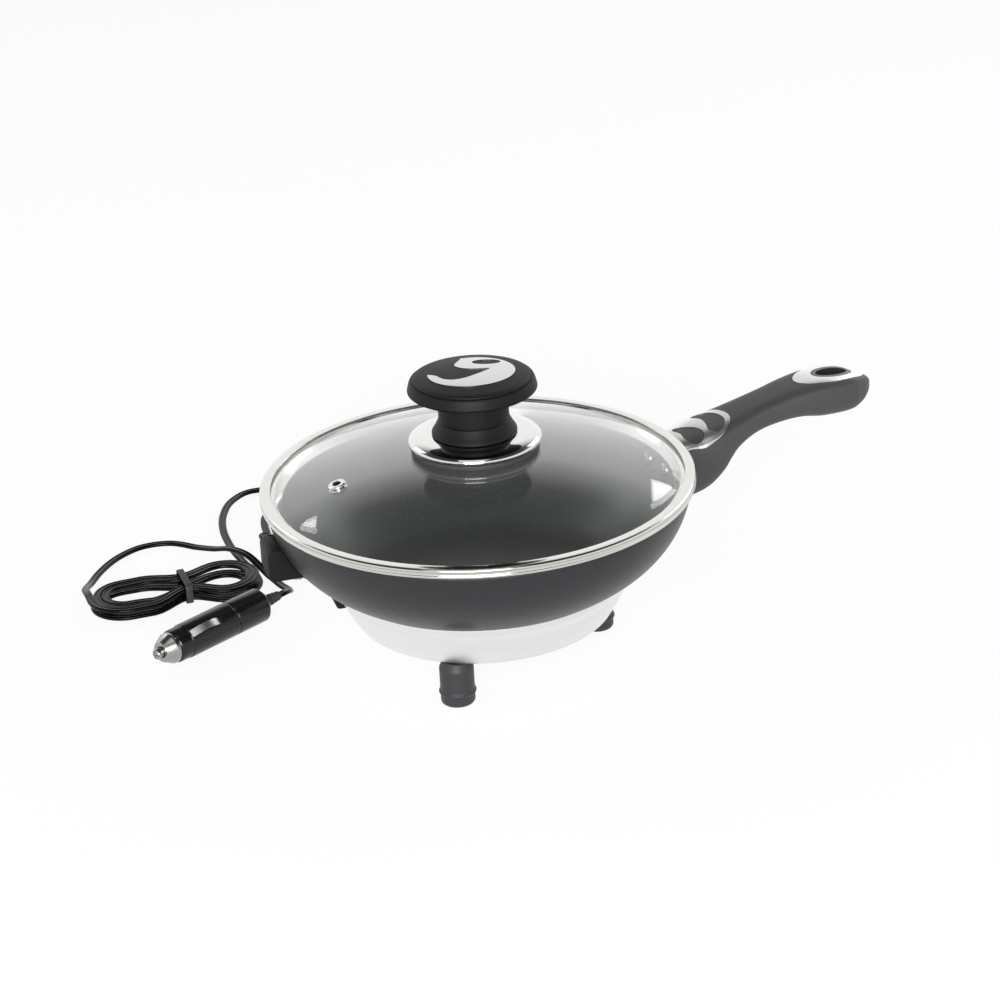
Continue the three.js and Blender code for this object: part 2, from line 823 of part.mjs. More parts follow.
function handleScrew() {
  const headTop = handleScrewHead + handleScrewHeadHeight;
  const profile = [
    at(0, handleScrewHead),
    at(handleScrewHeadRadius, handleScrewHead),
    at(handleScrewHeadRadius, headTop),
    at(handleScrewRadius, headTop),
    at(handleScrewRadius, tongueTop + gap),
    at(0, tongueTop + gap),
  ];
  return revolve(profile, fastenerSteps).translate(handleScrewPlace, 0, 0);
}

function handleScrewBore(clearance) {
  const headTop = handleScrewHead + handleScrewHeadHeight + clearance;
  const boreRadius = handleScrewRadius + clearance;
  const wellRadius = handleScrewHeadRadius + clearance;
  const bore = cylinder(boreRadius, headTop - gap, tongueTop + 2 * gap, fastenerSteps);
  const well = cylinder(wellRadius, headTop - handleDrop, headTop, fastenerSteps);
  return join(bore, well).translate(handleScrewPlace, 0, 0);
}

// Silver inlay at the handle's root, in plan: its outline runs from the rim to a round
// nose, and two comma openings leave an S of metal between them
const frontOutlineShares = [
  [0, -0.84], [0.25, -0.94], [0.52, -1.04], [0.78, -0.92], [0.95, -0.55], [1.01, -0.05],
  [0.95, 0.5], [0.78, 0.86], [0.54, 0.98], [0.26, 0.93], [0, 0.84],
];
const outerCommaShares = [
  [0.6, 0.72], [0.67, 0.3], [0.65, -0.15], [0.6, -0.58], [0.69, -0.84], [0.84, -0.62],
  [0.92, -0.2], [0.9, 0.28], [0.78, 0.68],
];
const innerCommaShares = [
  [0.24, 0.42], [0.27, -0.05], [0.24, -0.52], [0.29, -0.86], [0.44, -0.88], [0.53, -0.5],
  [0.49, 0.02], [0.34, 0.44],
];

function inPlan(shares) {
  return shares.map(([lengthShare, widthShare]) =>
    at(frontTrimStart + frontTrimLength * lengthShare, frontTrimHalfWidth * widthShare),
  );
}

// A thin inlay that follows the handle's top, and the recess that it lies in. Both
// are worked from a bar that starts inside the handle.
function handleInlay(outline, holes, barBottom) {
  const bar = prism(outline, barBottom, bandTop + 2 * handleRise, holes);
  return cut(common(bar, handleLoft(trimProud)), handleLoft(-trimThickness));
}

function handleRecess(outline, holes, barBottom) {
  const wider = grown(outline, gap);
  const narrower = holes.map((hole) => grown(hole, -gap));
  const bar = prism(wider, barBottom, bandTop + 2 * handleRise, narrower);
  return cut(bar, handleLoft(-trimThickness - gap));
}

function addHandle(group) {
  const frontOutline = inPlan(frontOutlineShares);
  const frontHoles = [inPlan(outerCommaShares), inPlan(innerCommaShares)];
  const frontBar = bandTop - handleRise;
  const endOutline = oval(endTrimCentre, 0, endTrimLength, endTrimWidth);
  const eyeletLength = hangHoleLength + 2 * eyeletWall;
  const eyeletWidth = hangHoleWidth + 2 * eyeletWall;
  const eyeletOutline = oval(hangHoleCentre, 0, eyeletLength, eyeletWidth);
  const hangHole = oval(hangHoleCentre, 0, hangHoleLength, hangHoleWidth);
  const through = [bandTop - handleDrop, bandTop + 2 * handleRise];
  const wellTop = bracketThickness + rivetTailHeight + 4 * gap;
  const rivetWells = rivetFrames().map((frame) =>
    cylinder(rivetTailRadius + gap, gap, wellTop).applyMatrix4(frame),
  );

  const body = cut(
    handleLoft(0),
    wallKeepOut(gap),
    lidKeepOut(),
    bracketShape(gap),
    ...rivetWells,
    handleScrewBore(gap),
    handleRecess(frontOutline, frontHoles, frontBar),
    prism(grown(eyeletOutline, gap), ...through),
    handleRecess(endOutline, [], bandTop),
  );
  addPiece(group, "handle_body", body, blackPlastic);

  const frontTrim = cut(
    handleInlay(frontOutline, frontHoles, frontBar),
    wallKeepOut(gap),
    lidKeepOut(),
  );
  addPiece(group, "handle_front_trim", frontTrim, chrome);
  const endTrim = handleInlay(endOutline, [grown(eyeletOutline, gap)], bandTop);
  addPiece(group, "handle_end_trim", endTrim, chrome);
  const eyelet = common(prism(eyeletOutline, ...through, [hangHole]), handleLoft(trimProud));
  addPiece(group, "hang_eyelet", eyelet, blackGloss);

  const bracket = cut(
    bracketShape(0),
    ...rivetFrames().map((frame) =>
      cylinder(rivetRadius + gap / 2, -overrun, 2 * overrun).applyMatrix4(frame),
    ),
    cylinder(handleScrewRadius + gap, tongueTop - overrun, tongueTop + overrun, fastenerSteps)
      .translate(handleScrewPlace, 0, 0),
  );
  addPiece(group, "handle_bracket", bracket, steel);
  addPiece(group, "handle_screw", handleScrew(), steel);
  ["right", "left"].forEach((side, i) => {
    const mesh = addPiece(group, `handle_rivet_${side}`, rivet(), coating);
    mesh.applyMatrix4(rivetFrames()[i]);
  });
}

// Sphere of the lid's glass
const domeEdge = bandRadius - bandSheet - gap - glassFlat;
const domeRadius = (domeEdge ** 2 + glassRise ** 2) / (2 * glassRise);
function glassHeight(radius, top = glassTop) {
  return top - domeRadius + Math.sqrt(domeRadius ** 2 - radius ** 2);
}

function ventFrame() {
  const tilt = Math.asin(ventCircle / domeRadius);
  const frame = new THREE.Matrix4().makeRotationZ(ventAzimuth);
  const place = new THREE.Matrix4().makeTranslation(ventCircle, 0, glassHeight(ventCircle));
  return frame.multiply(place).multiply(new THREE.Matrix4().makeRotationY(tilt));
}

function lidGlass() {
  const radii = Array.from({ length: domeSteps }, (_, i) =>
    domeEdge + ((glassHoleRadius - domeEdge) * i) / (domeSteps - 1),
  );
  const outerEdge = domeEdge + glassFlat;
  const above = radii.map((radius) => at(radius, glassHeight(radius)));
  const below = radii.map((radius) => at(radius, glassHeight(radius) - glassThickness)).reverse();
  const profile = [...below, at(outerEdge, glassEdgeBottom), at(outerEdge, glassEdgeTop), ...above];
  const hole = cylinder(ventHoleRadius, -glassThickness - overrun, overrun);
  return cut(revolve(profile), hole.applyMatrix4(ventFrame()));
}

// Rolled steel band: a channel round the glass edge, with an inner skirt that
// locates the lid in the pan
function lidBand() {
  const inside = bandRadius - bandSheet;
  const coverRadius = bandRadius - bandCover;
  const ledgeRadius = bandRadius - bandLedge;
  const skirtRadius = ledgeRadius - bandSkirtInset;
  const skirtFoot = bandBottom - bandSkirtDrop;
  const profile = [
    at(ledgeRadius, bandBottom),
    at(bandRadius - bandEdge, bandBottom),
    at(bandRadius, bandBottom + bandEdge),
    at(bandRadius, bandTop - bandEdge),
    at(bandRadius - bandEdge, bandTop),
    at(coverRadius, bandTop),
    at(coverRadius, bandTop - bandSheet),
    at(inside, bandTop - bandSheet),
    at(inside, bandBottom + bandSheet),
    at(ledgeRadius - bandSheet / 2, bandBottom + bandSheet),
    at(skirtRadius - bandSheet, skirtFoot),
    at(skirtRadius, skirtFoot),
  ];
  return revolve(profile);
}

function ventGrommet() {
  const top = gap + ventFlangeThickness;
  const bottom = -glassThickness - gap - ventFlangeThickness;
  const barrel = ventHoleRadius - gap;
  const profile = [
    at(ventBoreRadius, bottom),
    at(ventFlangeRadius, bottom),
    at(ventFlangeRadius, bottom + ventFlangeThickness),
    at(barrel, bottom + ventFlangeThickness),
    at(barrel, gap),
    at(ventFlangeRadius, gap),
    at(ventFlangeRadius - ventFlangeThickness / 2, top),
    at(ventBoreRadius, top),
  ];
  return revolve(profile, fastenerSteps);
}

// Knob, from the glass up: seal, chrome saucer, neck and head
const sealOuter = saucerRadius - saucerSheet;
const sealInner = sealOuter - sealWidth;
const sealTop = glassHeight(sealInner) + gap + sealHeight;
const saucerBottom = sealTop + gap;
const saucerTop = saucerBottom + saucerHeight;
const neckBottom = saucerTop + gap;
const neckTop = neckBottom + neckHeight;
const headBottom = neckTop + gap;
const headTop = headBottom + headHeight;
const knobBore = knobScrewRadius + gap;

function knobSeal() {
  return revolve([
    at(sealInner, glassHeight(sealInner) + gap),
    at(sealOuter, glassHeight(sealOuter) + gap),
    at(sealOuter, sealTop),
    at(sealInner, sealTop),
  ], knobSteps);
}

// Shares of the saucer's radius and height along its outer face, from the rim in
const saucerShares = [[0.973, 0], [1, 0.22], [1, 0.45], [0.965, 0.68], [0.88, 0.86], [0.64, 1]];
function knobSaucer() {
  const outer = saucerShares.map(([r, h]) => at(saucerRadius * r, saucerBottom + saucerHeight * h));
  const inner = outer
    .map((point, i) => at(point.x - saucerSheet, point.y - (i < 3 ? 0 : saucerSheet)))
    .reverse();
  const profile = [...outer, at(knobBore, saucerTop), at(knobBore, saucerTop - saucerSheet), ...inner];
  return revolve(profile, knobSteps);
}

// Shares of the neck's flange and flare along its foot
const neckShares = [[1, 0], [0.92, 0.22], [0.4, 0.68], [0, 1]];
function knobNeck() {
  const flare = neckShares.map(([out, up]) => {
    return at(neckRadius + neckFlange * out, neckBottom + neckFlare * up);
  });
  const profile = [at(knobBore, neckBottom), ...flare, at(neckRadius, neckTop), at(knobBore, neckTop)];
  return revolve(profile, knobSteps);
}

// Profile of the head as shares of its radius and height; a groove runs above the brim
const headShares = [
  [0.56, 0], [0.8, 0.14], [0.94, 0.25], [1, 0.35], [0.995, 0.46], [0.94, 0.78], [0.7, 0.915],
  [0.4, 0.975], [0, 1],
];
function headProfile(growth) {
  const outline = headShares.map(([r, h]) => at(headRadius * r, headBottom + headHeight * h));
  const moved = outline.map((point, i) => {
    if (i === 0) return at(point.x + growth, point.y - growth);
    if (i === outline.length - 1) return at(0, point.y + growth);
    const run = outline[i + 1].clone().sub(outline[i - 1]).normalize();
    return point.clone().add(at(run.y, -run.x).multiplyScalar(growth));
  });
  return [at(0, headBottom - growth), ...moved];
}

function knobHead() {
  const whole = revolve(headProfile(0), knobSteps);
  const grooveTop = headBottom + headGrooveHeight;
  const groove = ring(
    headGrooveRadius, headRadius + overrun,
    grooveTop - headGroove, grooveTop,
    knobSteps,
  );
  const boreTop = headBottom + knobScrewReach + gap;
  const bore = cylinder(knobBore, headBottom - overrun, boreTop, fastenerSteps);
  const recess = cut(trimBar(gap), revolve(headProfile(-trimThickness - gap), knobSteps));
  return cut(whole, groove, bore, recess);
}

// The inlay's outline as a bar, less its comma and its oval, grown by a clearance
function trimBar(clearance) {
  const [low, high] = [headBottom + headGrooveHeight, headTop + overrun];
  const outer = oval(
    0, headTrimSetBack,
    2 * headTrimRadius, 2 * headTrimHalfDepth,
    headTrimSlant, knobSteps,
  );
  const comma = commaShares.map(([x, y]) => at(headTrimRadius * x, headTrimRadius * y));
  const { x, y, length, width } = smallOvalShares;
  const small = oval(
    headTrimRadius * x, headTrimRadius * y,
    headTrimRadius * length, headTrimRadius * width,
    0, fastenerSteps,
  );
  const bar = cut(
    prism(grown(outer, clearance), low, high),
    prism(grown(comma, -clearance), low - overrun, high + overrun),
    prism(grown(small, -clearance), low - overrun, high + overrun),
  );
  return bar.rotateZ(headTrimTurn);
}

function knobTrim() {
  const skinned = common(trimBar(0), revolve(headProfile(trimProud), knobSteps));
  return cut(skinned, revolve(headProfile(-trimThickness), knobSteps));
}

const screwFaceShare = 0.8; // flat face of the screw's rounded head
function knobScrew() {
  const washerBottom = glassTop - glassThickness - gap - knobWasherThickness;
  const headTopFace = washerBottom - gap;
  const profile = [
    at(0, headTopFace - knobScrewHeadHeight),
    at(knobScrewHeadRadius * screwFaceShare, headTopFace - knobScrewHeadHeight),
    at(knobScrewHeadRadius, headTopFace - knobScrewHeadHeight / 2),
    at(knobScrewHeadRadius, headTopFace),
    at(knobScrewRadius, headTopFace),
    at(knobScrewRadius, headBottom + knobScrewReach),
    at(0, headBottom + knobScrewReach),
  ];
  return revolve(profile, fastenerSteps);
}

// The knob's inlay, as shares of its radius: a comma that is open to the disc's edge
// and a small oval leave a crescent and a tongue of metal
const commaShares = [
  [-0.38, 0.46], [-0.2, 0.24], [0.12, 0.17], [0.42, 0.16], [0.26, -0.04], [0.05, -0.22],
  [-0.19, -0.38], [-0.42, -0.42], [-0.64, -0.33], [-0.82, -0.08], [-1.15, 0.18], [-1.1, 0.7],
  [-0.6, 1.1], [-0.28, 1.2], [-0.24, 0.9],
];
const smallOvalShares = { x: 0.35, y: 0.6, length: 0.66, width: 0.34 };
const headTrimTurn = THREE.MathUtils.degToRad(-24);
const headTrimSlant = THREE.MathUtils.degToRad(10); // the outline's turn within the inlay

function addLid(group) {
  addPiece(group, "lid_glass", lidGlass(), glass);
  addPiece(group, "lid_band", lidBand(), chrome);
  addPiece(group, "vent_grommet", ventGrommet(), chrome).applyMatrix4(ventFrame());
  addPiece(group, "knob_seal", knobSeal(), rubber);
  addPiece(group, "knob_saucer", knobSaucer(), chrome);
  addPiece(group, "knob_neck", knobNeck(), blackPlastic);
  addPiece(group, "knob_head", knobHead(), blackPlastic);
  addPiece(group, "knob_trim", knobTrim(), chrome);
  const washerTop = glassTop - glassThickness - gap;
  const washerBottom = washerTop - knobWasherThickness;
  const washer = ring(knobBore, knobWasherRadius, washerBottom, washerTop, smallSteps);
  addPiece(group, "knob_washer", washer, rubber);
  addPiece(group, "knob_screw", knobScrew(), steel);
}

// Outlet block on the pan's wall. Its tongue follows the wall down over the top of
// the base ring, and the leads run behind it.
const housingBottom = partLine + bowlHeight * housingBottomShare;
const housingTop = partLine + bowlHeight * housingTopShare;
const housingMiddle = (housingBottom + housingTop) / 2;
const reliefPlace = (radiusOn(bowlCurve, housingMiddle) + gap + housingReach) / 2;

function cordHousing() {
  const half = housingWidth / 2;
  const block = box(
    -housingReach, -skirtFootRadius,
    -half, half,
    housingBottom, housingTop,
  );
  const corners = [
    at(-housingReach, housingBottom),
    at(-housingReach, housingTop),
  ].map((corner, i) => {
    const wedge = prism(
      [at(-housingEdge, 0), at(0, -housingEdge), at(housingEdge, 0), at(0, housingEdge)],
      -half - overrun,
      half + overrun,
    );
    return wedge.rotateX(Math.PI / 2).translate(corner.x, 0, corner.y);
  });
  const strip = box(
    -rimRadius, -skirtFootRadius,
    -half * housingStripShare, half * housingStripShare,
    skirtTop - tongueLap, housingBottom + overrun,
  );
  const tongueBottom = skirtTop - tongueLap;
  const tongueFace = radiusOn(skirtCurve, tongueBottom) + tongueProud;
  const tongueSkin = revolve([
    at(0, tongueBottom - overrun),
    at(tongueFace, tongueBottom - overrun),
    at(tongueFace, tongueBottom),
    ...beside(bowlCurve, bowlSteps, -tongueProud),
    at(0, rimTop),
  ]);
  const skirtKeepOut = revolve([
    at(0, skirtBottom),
    ...beside(skirtCurve, curveSteps, -turnedGap),
    at(skirtTopRadius + turnedGap, skirtTop + turnedGap),
    at(0, skirtTop + turnedGap),
  ]);
  const tongue = common(strip, tongueSkin);
  return cut(join(cut(block, ...corners), tongue), wallKeepOut(turnedGap), skirtKeepOut);
}

// Ribbed sleeve where a cord leaves; +Z runs out along the cord
function strainRelief(length, rootRadius, tipRadiusHere, ribs) {
  const pitch = length / ribs;
  const points = [at(0, 0)];
  for (let i = 0; i < ribs; i++) {
    const radius = rootRadius + ((tipRadiusHere - rootRadius) * i) / (ribs - 1);
    points.push(at(radius, i * pitch));
    points.push(at(radius, (i + reliefRibShare) * pitch));
    points.push(at(radius - reliefRib, (i + reliefRibShare) * pitch));
    points.push(at(radius - reliefRib, (i + 1) * pitch));
  }
  points.push(at(0, length));
  return revolve(points, fastenerSteps);
}

function addCordOutlet(group) {
  addPiece(group, "cord_housing", cordHousing(), blackPlastic);
  const relief = strainRelief(reliefLength, reliefRadius, reliefTipRadius, reliefRibs);
  const mesh = addPiece(group, "cord_strain_relief", relief, rubber);
  mesh.position.set(-reliefPlace, housingWidth / 2 + gap, housingMiddle);
  mesh.rotation.x = -Math.PI / 2;
}

// The hank lies beside the pan. It starts at the end nearer the pan, where the lead
// arrives, winds inwards on the floor, climbs along one run and winds out again above.
const hankCentre = new THREE.Vector3(-135, 154, 0);
const hankTurn = THREE.MathUtils.degToRad(-6.6);

function hankFold(fold) {
  const before = hankClimbRun - fold;
  const away = before >= 0 ? before : 1 - before;
  const radius = hankFoldRadius + (hankPitch / 2) * away;
  return { radius, layer: before > 0 ? 0 : 1 };
}

function smooth(share) {
  return share * share * (3 - 2 * share);
}

// How much of the waist's draw-in holds at a place along the hank
function waist(x) {
  const away = Math.abs(x - hankWaistPlace) / hankWaistReach;
  return away < 1 ? Math.cos((Math.PI / 2) * away) ** 2 : 0;
}

// Centreline of the hank in its own frame: straight stub, quarter fold, runs and folds
function hankLine() {
  const floorLevel = cordFloor + cordHeight / 2;
  const points = [];
  const fold = (index, from, to, steps) => {
    const { radius, layer } = hankFold(index);
    const side = index % 2 === 0 ? 1 : -1;
    for (let i = 0; i <= steps; i++) {
      const angle = from + ((to - from) * i) / steps;
      const x = side * (hankHalfRun + radius * Math.cos(angle));
      const y = side * -radius * Math.sin(angle);
      points.push(new THREE.Vector3(x, y, floorLevel + layer * hankLayerRise));
    }
  };
  const first = hankFold(0);
  points.push(new THREE.Vector3(hankHalfRun + first.radius, cordHeight, floorLevel));
  const halfFold = Math.ceil(hankFoldSteps / 2);
  fold(0, 0, Math.PI / 2, halfFold);
  for (let run = 1; run <= hankTurnFolds; run++) {
    const [from, to] = [hankFold(run - 1), hankFold(run)];
    const side = run % 2 === 1 ? -1 : 1;
    for (let i = 1; i < hankRunSteps; i++) {
      const x = side * (hankHalfRun - (2 * hankHalfRun * i) / hankRunSteps) * -1;
      const part = smooth(i / hankRunSteps);
      const drawn = waist(x);
      const spread = from.radius + (to.radius - from.radius) * part - hankDrawIn * drawn;
      const rise = (from.layer + (to.layer - from.layer) * part) * hankLayerRise;
      const height = floorLevel + rise + hankWaistLift * drawn;
      points.push(new THREE.Vector3(x, side * spread, height));
    }
    const last = run === hankTurnFolds;
    const end = last ? 0 : Math.PI / 2;
    fold(run, -Math.PI / 2, end, last ? halfFold : hankFoldSteps);
  }
  const end = points[points.length - 1];
  points.push(new THREE.Vector3(end.x, end.y + cordHeight, end.z));
  return points;
}

// Six corners of the flat cord's section: across its thickness, and up its height
const cordSectionShares = [
  [0.5, -0.25], [0.5, 0.25], [0, 0.5], [-0.5, 0.25], [-0.5, -0.25], [0, -0.5],
];

function hankRings() {
  const line = hankLine();
  return line.map((point, i) => {
    const before = line[Math.max(i - 1, 0)];
    const after = line[Math.min(i + 1, line.length - 1)];
    const heading = after.clone().sub(before);
    if (i === 1) heading.subVectors(line[1], line[0]);
    if (i === line.length - 2) heading.subVectors(line[i + 1], line[i]);
    const across = new THREE.Vector3(heading.y, -heading.x, 0).normalize();
    return cordSectionShares.map(([thicknessShare, heightShare]) =>
      point.clone()
        .addScaledVector(across, cordThickness * thicknessShare)
        .add(new THREE.Vector3(0, 0, cordHeight * heightShare)),
    );
  });
}

// Least gap between two stretches of the hank that aren't next to each other, measured
// on the corners of its rings, on points between them and on points along its edges
const gapShares = [0, 0.25, 0.5, 0.75];
function leastHankGap(rings) {
  const samples = [];
  for (let i = 0; i + 1 < rings.length; i++) {
    for (const share of gapShares) {
      const corners = rings[i].map((corner, j) => corner.clone().lerp(rings[i + 1][j], share));
      const edges = corners.map((corner, j) =>
        corner.clone().add(corners[(j + 1) % corners.length]).divideScalar(2),
      );
      samples.push([...corners, ...edges]);
    }
  }
  const apart = Math.round(hankApart);
  let least = Infinity;
  for (let i = 0; i < samples.length; i++) {
    for (let j = i + apart; j < samples.length; j++) {
      if (samples[i][0].distanceTo(samples[j][0]) > 4 * cordHeight) continue;
      for (const a of samples[i]) {
        for (const b of samples[j]) least = Math.min(least, a.distanceTo(b));
      }
    }
  }
  return least;
}

// Band round the hank's waist
function cordTie() {
  const outermost = Math.max(hankFold(1).radius, hankFold(hankTurnFolds - 1).radius);
  const half = outermost + hankPitch / 2 - hankDrawIn + cordThickness / 2 + gap;
  const low = cordFloor + hankWaistLift - gap;
  const high = low + hankLayerRise + cordHeight + 2 * gap;
  const corner = cordThickness / 2;
  const loop = (grow) => [
    at(-half - grow, low + corner - grow), at(-half + corner - grow, low - grow),
    at(half - corner + grow, low - grow), at(half + grow, low + corner - grow),
    at(half + grow, high - corner + grow), at(half - corner + grow, high + grow),
    at(-half + corner - grow, high + grow), at(-half - grow, high - corner + grow),
  ];
  const band = prism(loop(tieThickness), -tieWidth / 2, tieWidth / 2, [loop(0)]);
  return band.rotateX(Math.PI / 2).rotateZ(Math.PI / 2).translate(hankWaistPlace, 0, 0);
}

// Where a hank end leaves for the free cord: place and heading in the pan's frame
function hankEnd(last) {
  const line = hankLine().map((point) => point.applyAxisAngle(upright, hankTurn).add(hankCentre));
  const [end, inner] = last ? line.slice(-2).reverse() : line.slice(0, 2);
  return { place: end, heading: end.clone().sub(inner).normalize() };
}
const upright = new THREE.Vector3(0, 0, 1);

// A route that the floor holds up, and whose section stays upright, so that the flat
// cord stands on its edge
class CordRoute extends THREE.CatmullRomCurve3 {
  getPoint(share, target) {
    const point = super.getPoint(share, target);
    return point.setZ(Math.max(point.z, cordFloor + cordHeight / 2));
  }

  computeFrenetFrames(segments) {
    const tangents = [];
    const normals = [];
    const binormals = [];
    for (let i = 0; i <= segments; i++) {
      const tangent = this.getTangentAt(i / segments);
      const across = new THREE.Vector3().crossVectors(tangent, upright).normalize();
      tangents.push(tangent);
      normals.push(across);
      binormals.push(new THREE.Vector3().crossVectors(tangent, across).normalize());
    }
    return { tangents, normals, binormals };
  }
}

function cordTube(points, steps) {
  const [halfThick, halfHigh] = [cordThickness / 2, cordHeight / 2];
  const section = new THREE.Shape([
    at(halfThick, -halfHigh / 2), at(halfThick, halfHigh / 2),
    at(halfThick / 2, halfHigh), at(-halfThick / 2, halfHigh),
    at(-halfThick, halfHigh / 2), at(-halfThick, -halfHigh / 2),
    at(-halfThick / 2, -halfHigh), at(halfThick / 2, -halfHigh),
  ]);
  const extrudePath = new CordRoute(points, false, "centripetal");
  return new THREE.ExtrudeGeometry(section, { steps, extrudePath });
}

// Free stretches of the cord, point by point in the pan's frame
const leadRoute = [
  [-108, 50, 76], [-99, 68, 65], [-87, 90, 41], [-74, 111, 18], [-64, 131, 5.5], [-60, 150, 2.6],
  [-58, 176, 2.6], [-56, 204, 2.6], [-47, 232, 2.6], [-32, 246, 2.6], [-24, 258, 2.6],
  [-29, 271, 2.6], [-43, 275, 2.6], [-58, 266, 2.6], [-70, 248, 2.6], [-78, 226, 2.6],
  [-82.4, 200, 2.6], [-83.4, 178, 2.6],
];
const tailRoute = [
  [-183, 181, 6.5], [-176, 194, 3.4], [-165, 209, 2.6], [-149, 223, 2.6], [-131, 230, 2.6],
  [-114, 226, 2.6], [-102, 212, 2.6], [-94, 198, 5], [-88, 186, 8.4], [-82, 173, 8.4],
  [-78.4, 161, 5], [-76.6, 148, 2.6], [-75.4, 133, 2.6], [-74.6, 120, 4],
];
const plugNose = new THREE.Vector3(-180, 67, 0);
const plugRear = new THREE.Vector3(-100, 99, 0);
const leadSteps = 38;
const tailSteps = 34;

function addCord(group, plug) {
  const hank = new THREE.Group();
  hank.position.copy(hankCentre);
  hank.rotation.z = hankTurn;
  group.add(hank);
  const rings = hankRings();
  console.log(`least gap of the hank to itself: ${leastHankGap(rings).toFixed(2)} mm`);
  addPiece(hank, "cord_hank", skin(rings), blackGloss);
  addPiece(hank, "cord_tie", cordTie(), rubber);

  const exitAngle = baseTurn + Math.PI;
  const exit = new THREE.Vector3(reliefPlace, 0, housingMiddle).applyAxisAngle(upright, exitAngle);
  const exitHeading = new THREE.Vector3(0, -1, 0).applyAxisAngle(upright, exitAngle);
  const start = exit.clone().addScaledVector(exitHeading, housingWidth / 2 + gap + reliefLength + gap);
  const hankStart = hankEnd(false);
  const leadPoints = [
    start,
    start.clone().addScaledVector(exitHeading, cordHeight),
    ...leadRoute.map((point) => new THREE.Vector3(...point)),
    hankStart.place.clone().addScaledVector(hankStart.heading, gap + cordHeight),
    hankStart.place.clone().addScaledVector(hankStart.heading, gap),
  ];
  addPiece(group, "cord_lead", cordTube(leadPoints, leadSteps), blackGloss);

  const hankStop = hankEnd(true);
  const tailPoints = [
    hankStop.place.clone().addScaledVector(hankStop.heading, gap),
    hankStop.place.clone().addScaledVector(hankStop.heading, gap + cordHeight),
    ...tailRoute.map((point) => new THREE.Vector3(...point)),
    plug.end.clone().addScaledVector(plug.heading, cordHeight),
    plug.end,
  ];
  addPiece(group, "cord_tail", cordTube(tailPoints, tailSteps), blackGloss);
}

// The plug's pieces are turned about +Z, with zero at the body's rear face
const noseStart = plugLength + gap;
const tipShoulder = noseStart + noseLength / 2;
const tipCollarTop = tipShoulder - gap;
const tipCollarBottom = tipCollarTop - tipCollarLength;
const fuseTop = tipCollarBottom - gap;
const springTop = fuseTop - fuseLength - gap;
const plugBoreBottom = springTop - springLength - gap;
const pocketFloor = plugRadius - contactSink - contactTravel - gap - contactThickness;

function plugBody() {
  const profile = [
    at(0, 0),
    at(plugRadius - plugShoulder, 0),
    at(plugRadius, plugShoulder),
    at(plugRadius, plugLength - plugShoulder),
    at(plugRadius - plugShoulder / 2, plugLength),
    at(0, plugLength),
  ];
  const half = contactWidth / 2 + gap;
  const pocket = box(
    pocketFloor, plugRadius + overrun,
    -half, half,
    contactPlace - contactLength / 2 - gap, contactPlace + contactLength / 2 + gap,
  );
  return cut(
    revolve(profile, knobSteps),
    cylinder(plugBoreRadius, plugBoreBottom, plugLength + overrun),
    pocket.clone().rotateZ(contactTurn),
    pocket.rotateZ(contactTurn + Math.PI),
  );
}

// Arched strip whose middle stands out of the plug
function sideContact() {
  const steps = 8;
  const rise = contactSink + contactProud;
  const outer = Array.from({ length: steps + 1 }, (_, i) => {
    const share = i / steps;
    const height = plugRadius - contactSink + rise * Math.sin(Math.PI * share);
    return at(height, contactPlace + contactLength * (share - 0.5));
  });
  const inner = outer.map((point) => at(point.x - contactThickness, point.y)).reverse();
  const strip = prism([...outer, ...inner], -contactWidth / 2, contactWidth / 2);
  return strip.rotateX(Math.PI / 2);
}

function noseRing() {
  return revolve([
    at(plugBoreRadius, noseStart),
    at(noseRadius, noseStart),
    at(noseRadius, noseStart + noseLength / 4),
    at(noseTipRadius, noseStart + noseLength),
    at(tipRadius + gap, noseStart + noseLength),
    at(tipRadius + gap, tipShoulder),
    at(plugBoreRadius, tipShoulder),
  ], smallSteps);
}

const tipFaceShare = 0.7; // radius of the tip's end before its point
function tipContact() {
  const end = noseStart + noseLength + tipProud;
  return revolve([
    at(0, tipCollarBottom),
    at(tipCollarRadius, tipCollarBottom),
    at(tipCollarRadius, tipCollarTop),
    at(tipRadius, tipCollarTop),
    at(tipRadius, end - tipRadius / 2),
    at(tipRadius * tipFaceShare, end - tipRadius / 6),
    at(0, end),
  ], smallSteps);
}

// Helical spring behind the fuse
function plugSpring() {
  const steps = springTurns * springStepsPerTurn;
  const radius = fuseRadius - springWire / 2;
  const rings = Array.from({ length: steps + 1 }, (_, i) => {
    const angle = (2 * Math.PI * i) / springStepsPerTurn;
    const climb = ((springLength - springWire) * i) / steps;
    const height = springTop - springLength + springWire / 2 + climb;
    return [0, 1, 2, 3].map((corner) => {
      const turn = (Math.PI / 2) * corner;
      const reach = radius + (springWire / 2) * Math.cos(turn);
      const lift = height + (springWire / 2) * Math.sin(turn);
      return new THREE.Vector3(reach * Math.cos(angle), reach * Math.sin(angle), lift);
    });
  });
  return skin(rings);
}

